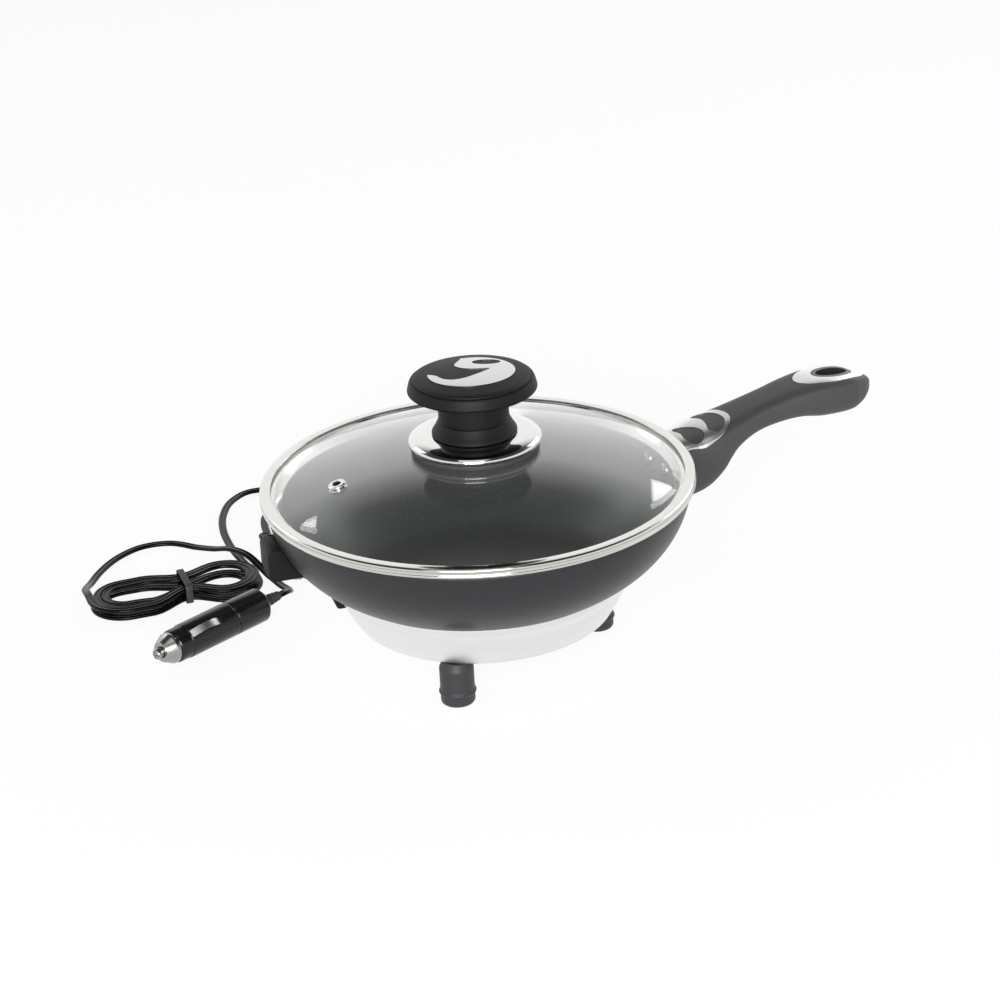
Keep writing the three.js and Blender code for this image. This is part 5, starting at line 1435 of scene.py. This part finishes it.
@dataclass
class Lid:
    """Glass, band, vent and knob, which lift off together."""

    levels: Levels
    band_radius: float = 122.0
    sheet: float = 0.8
    cover: float = 6.0
    ledge: float = 8.5
    skirt_drop: float = 3.6
    skirt_inset: float = 3.5
    glass: float = 3.2
    glass_flat: float = 5.4
    rise: float = 21.5
    hole: float = 4.0
    vent_circle: float = 81.0
    vent_azimuth: float = 174.0
    vent_hole: float = 4.2
    knob_bore: float = 2.8

    @property
    def edge_radius(self) -> float:
        """Where the dome starts inside the glass's flat edge."""
        return self.band_radius - self.sheet - self.levels.gap - self.glass_flat

    @property
    def dome_radius(self) -> float:
        """Radius of the dome's sphere."""
        return (self.edge_radius**2 + self.rise**2) / (2 * self.rise)

    @property
    def edge_bottom(self) -> float:
        """Underside of the glass's flat edge."""
        return self.levels.band_bottom + self.sheet + self.levels.gap

    @property
    def top(self) -> float:
        """Highest point of the glass."""
        return self.edge_bottom + self.glass + self.rise

    def height_at(self, radius: float) -> float:
        """Height of the glass's outer face at a radius."""
        return self.top - self.dome_radius + math.sqrt(self.dome_radius**2 - radius**2)

    def vent_place(self) -> Matrix:
        """Where the vent stands on the glass."""
        tilt = math.asin(self.vent_circle / self.dome_radius)
        up = Matrix.Translation((self.vent_circle, 0, self.height_at(self.vent_circle)))
        return spin(self.vent_azimuth) @ up @ Matrix.Rotation(tilt, 4, "Y")

    def pane(self) -> None:
        """Adds the domed glass with its vent hole."""
        steps = 26
        start, span = self.edge_radius, self.hole - self.edge_radius
        above = [(r, self.height_at(r)) for r in (start + span * i / steps for i in range(steps + 1))]
        outer = self.edge_radius + self.glass_flat
        edge = outer - 0.4
        low, high = self.edge_bottom, self.edge_bottom + self.glass
        bend = bezier((edge, high), (self.edge_radius, high), above[2], 8)
        over = [*bend, *above[3:]]
        under = [(r, z - self.glass) for r, z in over][::-1]
        rim = rounded(rectangle(edge, low, outer, high), 0.35, False, 3)
        profile = [*under[:-1], *rim, *over[1:]]
        hole = moved(rod(self.vent_hole, -9, 6), self.vent_place())
        mesh = carved(turned(profile, RING_STEPS), hole)
        add_piece("glass_dome", mesh, LID_GLASS, Body.LID, ["lid_glass"], 40.0)

    def band(self) -> None:
        """Adds the rolled steel band that holds the glass."""
        lv = self.levels
        radius, sheet = self.band_radius, self.sheet
        bottom, top = lv.band_bottom, lv.band_top
        ledge = radius - self.ledge
        skirt = ledge - self.skirt_inset
        foot = bottom - self.skirt_drop
        inside = [
            (radius - self.cover, top), (radius - self.cover, top - sheet),
            (radius - sheet, top - sheet), (radius - sheet, bottom + sheet),
            (ledge - 0.4, bottom + sheet), (skirt - sheet, foot), (skirt, foot),
        ]
        bead = [
            (ledge, bottom), (radius - 0.7, bottom), (radius, bottom + 0.7), (radius, bottom + 1.5),
            (radius - 0.5, bottom + 2.0), (radius - 0.5, top - 2.0), (radius, top - 1.5),
            (radius, top - 0.8), (radius - 0.8, top),
        ]
        band = turned(rounded([*bead, *inside], 0.45, True, 3), RING_STEPS)
        add_piece("steel_band", band, BAND_STEEL, Body.LID, ["lid_band"])

    def vent(self) -> None:
        """Adds the steam vent's grommet."""
        low, high, flange = -self.glass - 1.1, 1.1, 5.2
        profile = rounded(
            [
                (2.4, low), (flange, low), (flange, low + 0.8), (3.9, low + 0.8), (3.9, 0.3),
                (flange, 0.3), (flange - 0.4, high), (2.4, high),
            ],
            0.35, True, 3,
        )
        mesh = as_mesh(moved(turned(profile, 56), self.vent_place()))
        add_piece("vent", mesh, MIRROR_STEEL, Body.LID, ["vent_grommet"])

    def build(self) -> None:
        """Adds the lid without its knob."""
        self.pane()
        self.band()
        self.vent()


# Profiles of the knob's saucer and head: shares of their radius and height.
SAUCER_SHARES = ((0.973, 0), (1, 0.22), (1, 0.45), (0.965, 0.68), (0.88, 0.86), (0.64, 1))
HEAD_SHARES = (
    (0.56, 0), (0.8, 0.14), (0.94, 0.25), (1, 0.35), (0.995, 0.46), (0.94, 0.78), (0.7, 0.915),
    (0.4, 0.975), (0, 1),
)
# Outline of the comma in the knob's inlay: shares of the inlay's radius.
COMMA_SHARES = (
    (-0.38, 0.46), (-0.2, 0.24), (0.12, 0.17), (0.42, 0.16), (0.26, -0.04), (0.05, -0.22),
    (-0.19, -0.38), (-0.42, -0.42), (-0.64, -0.33), (-0.82, -0.08), (-1.15, 0.18), (-1.1, 0.7),
    (-0.6, 1.1), (-0.28, 1.2), (-0.24, 0.9),
)


@dataclass
class Knob:
    """Seal, chrome saucer, neck, head and its inlay, with the screw below."""

    lid: Lid
    saucer_radius: float = 37.2
    saucer_height: float = 5.5
    saucer_sheet: float = 1.2
    seal_width: float = 4.5
    seal_height: float = 2.0
    washer_radius: float = 9.0
    washer_height: float = 1.2
    neck_radius: float = 19.7
    neck_height: float = 20.4
    neck_flange: float = 4.2
    head_radius: float = 36.0
    head_height: float = 14.6
    groove_height: float = 11.6
    groove_radius: float = 33.1
    groove_half: float = 0.35
    screw_depth: float = 8.0
    trim_radius: float = 24.4
    trim_turn: float = -24.0
    trim_half_depth: float = 22.0
    trim_set_back: float = 1.6
    trim_slant: float = 10.0
    oval_place: Point = (0.35, 0.6)
    oval_size: Point = (0.66, 0.34)

    @property
    def seal_top(self) -> float:
        """Top of the seal under the saucer."""
        inner = self.saucer_radius - self.saucer_sheet - self.seal_width
        return self.lid.height_at(inner) + self.lid.levels.gap + self.seal_height

    @property
    def head_bottom(self) -> float:
        """Underside of the head."""
        gap = self.lid.levels.gap
        return self.seal_top + gap + self.saucer_height + gap + self.neck_height + gap

    def head_outline(self, growth: float, groove: bool) -> list[Point]:
        """Profile of the head, grown by a distance, with its groove or without."""
        low, high, radius = self.head_bottom, self.head_height, self.head_radius
        smooth = flat_spline([(radius * r, low + high * h) for r, h in HEAD_SHARES], 7)
        points = beside(smooth, -growth)
        points[-1] = (0.0, low + high + growth)
        if groove:
            middle, root = low + self.groove_height - 0.3, self.groove_radius
            bottom, top = middle - self.groove_half, middle + self.groove_half
            below = [p for p in points if p[1] < bottom]
            above = [p for p in points if p[1] > top]
            slot = [
                (below[-1][0] - 0.1, bottom), (root, bottom + 0.1),
                (root, top - 0.1), (above[0][0] + 0.1, top),
            ]
            points = [*below, *slot, *above]
        edge = rounded([(0.0, low - growth), points[0], points[1]], 0.6, False)[1:-1]
        return [(0.0, low - growth), *edge, *points[1:]]

    def _head_solid(self, growth: float, groove: bool = False) -> Shape:
        """The head, grown by a distance."""
        return turned(self.head_outline(growth, groove), 128)

    def trim_holes(self) -> list[list[Point]]:
        """The comma and the oval that leave a crescent and a tongue of silver."""
        turn = math.radians(self.trim_turn)
        size = self.trim_radius
        turning = Matrix.Rotation(turn, 2)
        smooth = flat_spline(COMMA_SHARES, 4, closed=True)
        comma = [tuple(turning @ Vector(point) * size) for point in smooth]
        centre = turning @ Vector(self.oval_place) * size
        length, width = self.oval_size
        return [comma, oval(tuple(centre), length * size, width * size, turn, 32)]

    def head(self) -> None:
        """Adds the head and its inlay."""
        gap = self.lid.levels.gap
        bottom = self.head_bottom
        centre = Matrix.Rotation(math.radians(self.trim_turn), 2) @ Vector((0, self.trim_set_back))
        slant = math.radians(self.trim_turn + self.trim_slant)
        disc = oval(tuple(centre), 2 * self.trim_radius, 2 * self.trim_half_depth, slant, 96)
        span = (bottom + self.groove_height, bottom + self.head_height + 6)
        inlay = Inlay(disc, self.trim_holes(), span, self._head_solid, gap)
        bore = rod(self.lid.knob_bore, bottom - 3, bottom + self.screw_depth, 24)
        mesh = carved(self._head_solid(0.0, groove=True), inlay.recess(), bore)
        add_piece("knob_cap", mesh, KNOB_PLASTIC, Body.LID, ["knob_head"], 38.0)
        add_piece("knob_inlay", inlay.piece(), INLAY_SILVER, Body.LID, ["knob_trim"], 38.0)

    def build(self) -> None:
        """Adds the knob from the glass up."""
        lid, gap, bore = self.lid, self.lid.levels.gap, self.lid.knob_bore
        outer = self.saucer_radius - self.saucer_sheet
        inner = outer - self.seal_width
        seal = rounded(
            [
                (inner, lid.height_at(inner) + gap), (outer, lid.height_at(outer) + gap),
                (outer, self.seal_top), (inner, self.seal_top),
            ],
            0.5,
        )
        add_piece("knob_gasket", turned(seal), SOFT_RUBBER, Body.LID, ["knob_seal"])
        bottom, radius, height = self.seal_top + gap, self.saucer_radius, self.saucer_height
        top = bottom + height
        over = flat_spline([(radius * r, bottom + height * h) for r, h in SAUCER_SHARES], 6)
        under = beside(over, self.saucer_sheet)[::-1]
        profile = [*over, (bore, top), (bore, top - self.saucer_sheet), *under]
        add_piece("knob_dish", turned(profile), MIRROR_STEEL, Body.LID, ["knob_saucer"])
        low, high = top + gap, self.head_bottom - gap
        wide, slim = self.neck_radius + self.neck_flange, self.neck_radius
        neck = rounded(
            [
                (bore, low), (wide, low), (wide - 0.1, low + 1.4), (wide - 1.5, low + 3.4),
                (slim + 1.5, low + 5.6), (slim + 0.6, low + 7.4), (slim + 0.5, low + 8.0),
                (slim - 0.3, low + 8.3), (slim, low + 8.8), (slim, high), (bore, high),
            ],
            0.7,
        )
        add_piece("knob_stem", turned(neck), KNOB_PLASTIC, Body.LID, ["knob_neck"])
        self.head()
        washer_top = lid.top - lid.glass - gap
        washer_low = washer_top - self.washer_height
        washer = rounded(rectangle(bore, washer_low, self.washer_radius, washer_top), 0.4)
        add_piece("screw_washer", turned(washer, 72), SOFT_RUBBER, Body.LID, ["knob_washer"])
        seat, shaft = washer_low - gap, bore - gap
        tip = self.head_bottom + self.screw_depth - gap
        head = rounded([(4, seat - 2.4), (5, seat - 1.2), (5, seat)], 1.0, False)
        screw = [(0, seat - 2.4), *head, (shaft, seat), (shaft, tip), (0, tip)]
        slot = prism(rounded(rectangle(-6, -0.5, 6, 0.5), 0.2), seat - 6, seat - 1.5)
        mesh = carved(turned(screw, 48), slot)
        add_piece("cap_screw", mesh, ZINC_STEEL, Body.LID, ["knob_screw"])


@dataclass
class Outlet:
    """Cord outlet block on the pan's wall, with its strain relief."""

    levels: Levels
    pan: Pan
    base: Base
    copies: Tree
    width: float = 22.0
    reach: float = 124.0
    root: float = 75.0
    bottom_share: float = 0.31
    top_share: float = 0.69
    tongue_lap: float = 9.0
    clearance: float = 0.35
    relief_length: float = 16.0
    relief_radii: Point = (4.2, 2.9)

    @property
    def middle(self) -> float:
        """Height of the cord's exit."""
        lv = self.levels
        return lv.part_line + lv.bowl_height * (self.bottom_share + self.top_share) / 2

    @property
    def relief_radius(self) -> float:
        """How far the cord's exit stands from the pan's axis."""
        return (self.pan.radius_at(self.middle) + self.levels.gap + self.reach) / 2

    def exit(self) -> tuple[Vector, Vector]:
        """Where the cord leaves the strain relief, and its heading."""
        turning = spin(self.base.turn + 180, 3)
        place = turning @ Vector((self.relief_radius, 0, self.middle))
        heading = turning @ Vector((0, -1, 0))
        gap = self.levels.gap
        return place + heading * (self.width / 2 + 2 * gap + self.relief_length), heading

    def build(self) -> None:
        """Adds the block and its sleeve."""
        lv = self.levels
        low = lv.part_line + lv.bowl_height * self.bottom_share
        high = lv.part_line + lv.bowl_height * self.top_share
        half = self.width / 2
        upright = Matrix.Rotation(math.pi / 2, 4, "X")
        outline = rounded(rectangle(-self.reach, low, -self.root, high), 3.0, True, 6)
        block = moved(prism(outline, -half, half), upright)
        reach, lap = -self.pan.waist_radius - 1.5, lv.skirt_top - self.tongue_lap
        strip = rounded(
            [
                (reach, lap), (-self.root, lap), (-self.root, low + 4), (-self.reach + 12, low + 4),
                (reach - 1.5, lv.skirt_top + 2),
            ],
            2.5, True, 5,
        )
        tongue = moved(prism(strip, -half * 0.8, half * 0.8), upright)
        side, top = self.clearance, lv.skirt_top + 0.4
        edge = (self.base.top_radius + side, top)
        ring = [(0, lv.skirt_bottom), *beside(self.base.outer(), -side), edge, (0, top)]
        joined = carved(block, tongue, way=Cut.JOINED)
        mesh = carved(joined, self.pan.keep_out(side), turned(ring, RING_STEPS))
        add_piece(
            "outlet_block", bevelled(mesh, 0.9, 3, 50.0), KNOB_PLASTIC, Body.SKILLET,
            ["cord_housing"], 40.0, spin(self.base.turn),
        )
        place, heading = self.exit()
        root = place - heading * (self.relief_length + lv.gap)
        facing = heading.to_track_quat("Z", "Y").to_matrix().to_4x4()
        sleeve = relief_sleeve(self.copies, self.relief_length, *self.relief_radii)
        add_piece(
            "outlet_sleeve", sleeve, SOFT_RUBBER, Body.SKILLET, ["cord_strain_relief"],
            place=Matrix.Translation(root) @ facing,
        )


def relief_sleeve(copies: Tree, length: float, root: float, tip: float) -> bpy.types.Mesh:
    """A ribbed sleeve whose ribs grow smaller towards its tip, along +Z."""
    ribs = 5
    pitch = length / ribs
    rib = rounded(rectangle(tip - 1.1, 0, root, 0.62 * pitch), 0.5, True, 3)
    row = copies.run(
        as_mesh(turned(rib, 40)), SOFT_RUBBER, Count=ribs, First_Angle=0.0, Step_Angle=0.0,
        Step_Offset=(0, 0, pitch), Step_Scale=(1 - tip / root) / (ribs - 1),
    )
    core = turned([(0, 0.1), (root - 0.9, 0.1), (tip - 0.5, length), (0, length)], 40)
    return carved(core, row, way=Cut.JOINED)


@dataclass
class Cord:
    """Flat twin cord: a lead down from the outlet, a tied hank, and a tail to the plug."""

    outlet: Outlet
    sweep: Tree
    height: float = 5.0
    thickness: float = 2.5
    floor: float = 0.1
    centre: Place = (-135.0, 154.0, 0.0)
    turn: float = -6.6
    folds: int = 9
    climb: int = 5
    half_run: float = 30.0
    fold_radius: float = 12.5
    pitch: float = 3.5
    layer_rise: float = 5.6
    draw_in: float = 10.0
    waist_place: float = 6.0
    waist_reach: float = 24.0
    waist_lift: float = 1.3
    run_steps: int = 14
    fold_steps: int = 20

    lead_route: tuple[Place, ...] = (
        (-108, 50, 76), (-99, 68, 65), (-87, 90, 41), (-74, 111, 18), (-64, 131, 5.5), (-60, 150, 2.6),
        (-58, 176, 2.6), (-56, 204, 2.6), (-47, 232, 2.6), (-32, 246, 2.6), (-24, 258, 2.6),
        (-29, 271, 2.6), (-43, 275, 2.6), (-58, 266, 2.6), (-70, 248, 2.6), (-78, 226, 2.6),
        (-82.4, 200, 2.6), (-83.4, 178, 2.6),
    )
    tail_route: tuple[Place, ...] = (
        (-183, 181, 6.5), (-176, 194, 3.4), (-165, 209, 2.6), (-149, 223, 2.6), (-131, 230, 2.6),
        (-114, 226, 2.6), (-102, 212, 2.6), (-94, 198, 5), (-88, 186, 8.4), (-82, 173, 8.4),
        (-78.4, 161, 5), (-76.6, 148, 2.6), (-75.4, 133, 2.6), (-74.6, 120, 4),
    )

    def _fold(self, index: int) -> tuple[float, int]:
        """Radius and layer of a fold of the hank."""
        before = self.climb - index
        away = before if before >= 0 else 1 - before
        return self.fold_radius + self.pitch / 2 * away, 0 if before > 0 else 1

    def _waist(self, x: float) -> float:
        """Share of the waist's draw-in at a place along the hank."""
        away = abs(x - self.waist_place) / self.waist_reach
        return math.cos(math.pi / 2 * away) ** 2 if away < 1 else 0.0

    def hank(self) -> list[Vector]:
        """Centreline of the hank in the pan's frame."""
        level = self.floor + self.height / 2
        line: list[Vector] = []

        def fold(index: int, start: float, end: float, steps: int) -> None:
            """Adds one fold."""
            radius, layer = self._fold(index)
            side = 1 if index % 2 == 0 else -1
            for i in range(steps + 1):
                angle = start + (end - start) * i / steps
                x = side * (self.half_run + radius * math.cos(angle))
                y = side * -radius * math.sin(angle)
                line.append(Vector((x, y, level + layer * self.layer_rise)))

        line.append(Vector((self.half_run + self._fold(0)[0], self.height, level)))
        fold(0, 0.0, math.pi / 2, self.fold_steps // 2)
        for run in range(1, self.folds + 1):
            (radius, layer), (next_radius, next_layer) = self._fold(run - 1), self._fold(run)
            side = -1 if run % 2 == 1 else 1
            for i in range(1, self.run_steps):
                share = i / self.run_steps
                x = -side * (self.half_run - 2 * self.half_run * share)
                part = share * share * (3 - 2 * share)
                drawn = self._waist(x)
                spread = radius + (next_radius - radius) * part - self.draw_in * drawn
                rise = (layer + (next_layer - layer) * part) * self.layer_rise
                line.append(Vector((x, side * spread, level + rise + self.waist_lift * drawn)))
            last = run == self.folds
            steps = self.fold_steps // 2 if last else self.fold_steps
            fold(run, -math.pi / 2, 0.0 if last else math.pi / 2, steps)
        line.append(line[-1] + Vector((0, self.height, 0)))
        turning = spin(self.turn, 3)
        return [turning @ point + Vector(self.centre) for point in line]

    def centreline(self, plug: "Plug") -> list[Vector]:
        """The whole cord's line from the outlet's sleeve to the plug's sleeve."""
        start, heading = self.outlet.exit()
        hank = self.hank()
        into = (hank[0] - hank[1]).normalized()
        out = (hank[-1] - hank[-2]).normalized()
        plug_end, back = plug.cord_end()
        lead = [
            start - heading * 2, start, start + heading * self.height,
            *map(Vector, self.lead_route), hank[0] + into * self.height, hank[0],
        ]
        tail = [
            hank[-1], hank[-1] + out * self.height, *map(Vector, self.tail_route),
            plug_end + back * self.height, plug_end, plug_end - back * 2,
        ]
        points = [*spline(lead, 10), *hank[1:-1], *spline(tail, 10)]
        lowest = self.floor + self.height / 2
        return [Vector((p.x, p.y, max(p.z, lowest))) for p in points]

    def profile(self) -> list[Point]:
        """Section of the twin cord: two round cores and the web between them."""
        core = self.thickness / 2
        lobe = []
        for i in range(13):
            angle = math.radians(-38 + 256 * i / 12)
            lobe.append((core * math.cos(angle), core + core * math.sin(angle)))
        return [*lobe, *[(-x, -y) for x, y in lobe]]

    def build(self, plug: "Plug", pieces: Sequence[bpy.types.Object]) -> None:
        line = self.centreline(plug)
        section = temporary(curve_data([(y, x) for x, y in reversed(self.profile())], True))
        mesh = self.sweep.run(curve_data(line), SHEATH, Profile=section)
        bpy.data.objects.remove(section)
        nodes = ["cord_lead", "cord_hank", "cord_tail"]
        cord = add_piece("twin_cord", mesh, SHEATH, Body.SKILLET, nodes, 60.0)
        path = [PAN_AXIS + point * MM for point in line]
        length = sum((b - a).length for a, b in zip(path, path[1:]))
        LOG.info("cord centreline: %.3f m", length)
        tie = self.tie()
        self.height * MM

    def tie(self) -> bpy.types.Object:
        """Adds the band round the hank's waist."""
        gap = self.outlet.levels.gap
        outermost = max(self._fold(1)[0], self._fold(self.folds - 1)[0])
        half = outermost + self.pitch / 2 - self.draw_in + self.thickness / 2 + gap
        low = self.floor + self.waist_lift - gap
        high = low + self.layer_rise + self.height + 2 * gap
        inner = rounded(rectangle(-half, low, half, high), 2.4, True, 6)
        band = carved(prism(grown(inner, 0.8), -2, 2), prism(inner, -4, 4))
        stand = spin(90) @ Matrix.Rotation(math.pi / 2, 4, "X")
        waist = spin(self.turn) @ Matrix.Translation((self.waist_place, 0, 0))
        return add_piece(
            "hank_band", bevelled(band, 0.25), SOFT_RUBBER, Body.SKILLET, ["cord_tie"],
            place=Matrix.Translation(self.centre) @ waist @ stand,
        )


@dataclass
class Plug:
    """Vehicle plug: body, nose, sprung tip with its fuse, and two side contacts."""

    levels: Levels
    copies: Tree
    coils: Tree
    radius: float = 10.4
    length: float = 70.0
    bore: float = 4.6
    bore_bottom: float = 29.9
    nose_length: float = 8.0
    nose_radius: float = 9.2
    nose_tip: float = 6.0
    tip_radius: float = 3.2
    collar_radius: float = 4.2
    collar_height: float = 2.0
    tip_proud: float = 4.5
    contact_length: float = 24.0
    contact_width: float = 4.4
    contact_place: float = 48.5
    contact_sink: float = 2.4
    contact_proud: float = 1.5
    contact_sheet: float = 0.8
    contact_press: float = 1.2
    contact_turn: float = -45.0
    fuse_length: float = 25.0
    fuse_radii: Point = (3.1, 2.8)
    spring_height: float = 11.2
    spring_radius: float = 2.7
    spring_turns: float = 4.0
    wire: float = 0.8
    stroke: float = 3.2
    relief_length: float = 14.0
    relief_radii: Point = (4.2, 2.9)
    nose: Place = (-180.0, 67.0, 0.0)
    rear: Place = (-100.0, 99.0, 0.0)
    floor: float = 0.1

    @property
    def heading(self) -> Vector:
        """Direction from the plug's rear to its nose."""
        return (Vector(self.nose) - Vector(self.rear)).normalized()

    def place(self) -> Matrix:
        """The plug's own frame: +Z towards the nose, +X up."""
        away = self.heading.cross(UP)
        turn = Matrix((UP, away, self.heading)).transposed().to_4x4()
        return Matrix.Translation(Vector(self.rear) + UP * (self.radius + self.floor)) @ turn

    def cord_end(self) -> tuple[Vector, Vector]:
        """Where the cord enters the plug's sleeve, and the direction away from it."""
        back = -self.heading
        end = Vector(self.rear) + UP * (self.radius + self.floor)
        return end + back * (self.relief_length + 2 * self.levels.gap), back

    def shell(self) -> bpy.types.Object:
        """Adds the plug's body."""
        gap = self.levels.gap
        r, length = self.radius, self.length
        outline = [
            (0, 0), (r - 2.2, 0), (r, 2.2), (r, 25), (r - 0.35, 25.4), (r - 0.35, 26.2), (r, 26.6),
            (r, length - 9), (r - 0.5, length - 8.4), (r - 0.5, length - 1), (r - 1.2, length),
            (0, length),
        ]
        profile = [outline[0], *rounded(outline[1:-1], 0.5, False, 3), outline[-1]]
        half = self.contact_width / 2 + gap
        pocket_floor = r - self.contact_sink - self.contact_press - gap - self.contact_sheet
        ends = [self.contact_place + side * (self.contact_length / 2 + gap) for side in (-1, 1)]
        pocket = prism(rounded(rectangle(pocket_floor, -half, r + 6, half), 0.3), *ends)
        pockets = [moved(pocket, spin(self.contact_turn + add)) for add in (0, 180)]
        bore = rod(self.bore, self.bore_bottom, length + 6)
        proud = r + 0.12
        seam = prism(rounded(rectangle(-0.25, -proud, 0.25, proud), 0.1), 4, length - 10)
        whole = carved(turned(profile, 96), seam, way=Cut.JOINED)
        mesh = carved(whole, bore, *pockets)
        return add_piece(
            "plug_shell", mesh, PLUG_PLASTIC, Body.SKILLET, ["plug_body"], place=self.place()
        )

    def build(self) -> list[bpy.types.Object]:
        """Adds the plug.

        Returns:
            Its pieces.
        """
        gap = self.levels.gap
        start = self.length + gap
        end = start + self.nose_length
        shoulder = start + self.nose_length / 2
        hole = self.tip_radius + gap
        pieces = [self.shell()]
        ring = rounded(
            [
                (self.bore, start), (self.nose_radius, start), (self.nose_radius, start + 2),
                (self.nose_tip, end), (hole, end), (hole, shoulder), (self.bore, shoulder),
            ],
            0.4, True, 3,
        )
        collar, tip_end, tip_radius = shoulder - gap, end + self.tip_proud, self.tip_radius
        collar_low = collar - self.collar_height
        head = [(tip_radius, tip_end - 2.4), (tip_radius, tip_end - 0.6), (0, tip_end)]
        tip = [
            (0, collar_low), (self.collar_radius, collar_low), (self.collar_radius, collar),
            (tip_radius, collar), *rounded(head, 1.6, False, 6),
        ]
        cross = prism(rounded(rectangle(-0.35, -4, 0.35, 4), 0.1), tip_end - 0.8, tip_end + 3)
        pin = carved(turned(tip, 48), cross, moved(cross, spin(90)))
        fuse_top = collar_low - gap
        fuse_low = fuse_top - self.fuse_length
        cap, tube = self.fuse_radii
        fuse = rounded(
            [
                (0, fuse_low), (cap, fuse_low), (cap, fuse_low + 6), (tube, fuse_low + 6.2),
                (tube, fuse_top - 6.2), (cap, fuse_top - 6), (cap, fuse_top), (0, fuse_top),
            ],
            0.25, False, 3,
        )
        seat = Vector((0, 0, fuse_low - gap - self.spring_height - self.wire / 2))
        spring = self.spring(seat)
        near, far = (moved(self.contact(), spin(self.contact_turn + add)) for add in (0, 180))
        at, core = self.place(), Body.PLUG_TIP
        rows = (
            ("nose_ring", turned(ring, 64), PLUG_STEEL, Body.SKILLET, "plug_nose_ring"),
            ("tip_pin", pin, PLUG_STEEL, core, "plug_tip_contact"),
            ("fuse", turned(fuse, 40), CERAMIC, core, "plug_fuse"),
            ("tip_spring", spring, ZINC_STEEL, Body.SKILLET, "plug_spring"),
            ("contact_near", near, SATIN_SILVER, Body.CONTACT_NEAR, "plug_side_contact_near"),
            ("contact_far", far, SATIN_SILVER, Body.CONTACT_FAR, "plug_side_contact_far"),
        )
        for name, solid, finish, body, node in rows:
            pieces.append(add_piece(name, solid, finish, body, [node], place=at))
            if name == "tip_spring":
                self.squash_spring(pieces[-1], seat)
        sleeve = relief_sleeve(self.copies, self.relief_length, *self.relief_radii)
        back = at @ Matrix.Translation((0, 0, -gap)) @ Matrix.Rotation(math.pi, 4, "X")
        nodes = ["plug_strain_relief"]
        pieces.append(
            add_piece("plug_sleeve", sleeve, SOFT_RUBBER, Body.SKILLET, nodes, place=back)
        )
        return pieces

    def spring(self, seat: Vector) -> bpy.types.Mesh:
        """The spring behind the fuse, standing on its seat."""
        radius, wire = self.spring_radius, self.wire
        mesh = self.coils.run(
            as_mesh(([], [])), ZINC_STEEL, Turns=self.spring_turns, Start_Radius=radius,
            End_Radius=radius, Height=self.spring_height, Strip_Width=wire, Strip_Height=wire,
        )
        mesh.transform(Matrix.Translation(seat))
        return mesh

    def squash_spring(self, piece: bpy.types.Object, seat: Vector) -> None:
        """Gives the spring its own mesh; the anchor and the share of its height that stays are worked
        out but not used.
        """
        anchor = PAN_AXIS + MM * (self.place() @ seat)
        keep = 1 - self.stroke / self.spring_height
        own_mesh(piece)

    def contact(self) -> Shape:
        """An arched strip whose middle stands out of the plug."""
        steps = 20
        rise = self.contact_sink + self.contact_proud
        outer = []
        for i in range(steps + 1):
            share = i / steps
            height = self.radius - self.contact_sink + rise * math.sin(math.pi * share)
            outer.append((height, self.contact_place + self.contact_length * (share - 0.5)))
        inner = [(x - self.contact_sheet, y) for x, y in outer][::-1]
        half = self.contact_width / 2
        return moved(prism([*outer, *inner], -half, half), Matrix.Rotation(math.pi / 2, 4, "X"))


def main() -> None:
    """Builds the studio and every sub-assembly in order."""
    logging.basicConfig(level=logging.INFO, format="%(name)s: %(message)s")
    Studio().build()
    copies, sweep, coils = copies_tree(), sweep_tree(), coil_tree()
    levels = Levels()
    pan = Pan(levels)
    base = Base(levels, copies, coils)
    outlet = Outlet(levels, pan, base, copies)
    plug = Plug(levels, copies, coils)
    Cord(outlet, sweep).build(plug, plug.build())
    outlet.build()
    pan.build(base.top_radius - base.wall)
    base.build()
    Handle(levels, pan, copies).build()
    lid = Lid(levels)
    lid.build()
    Knob(lid).build()


if __name__ == "__main__":
    main()
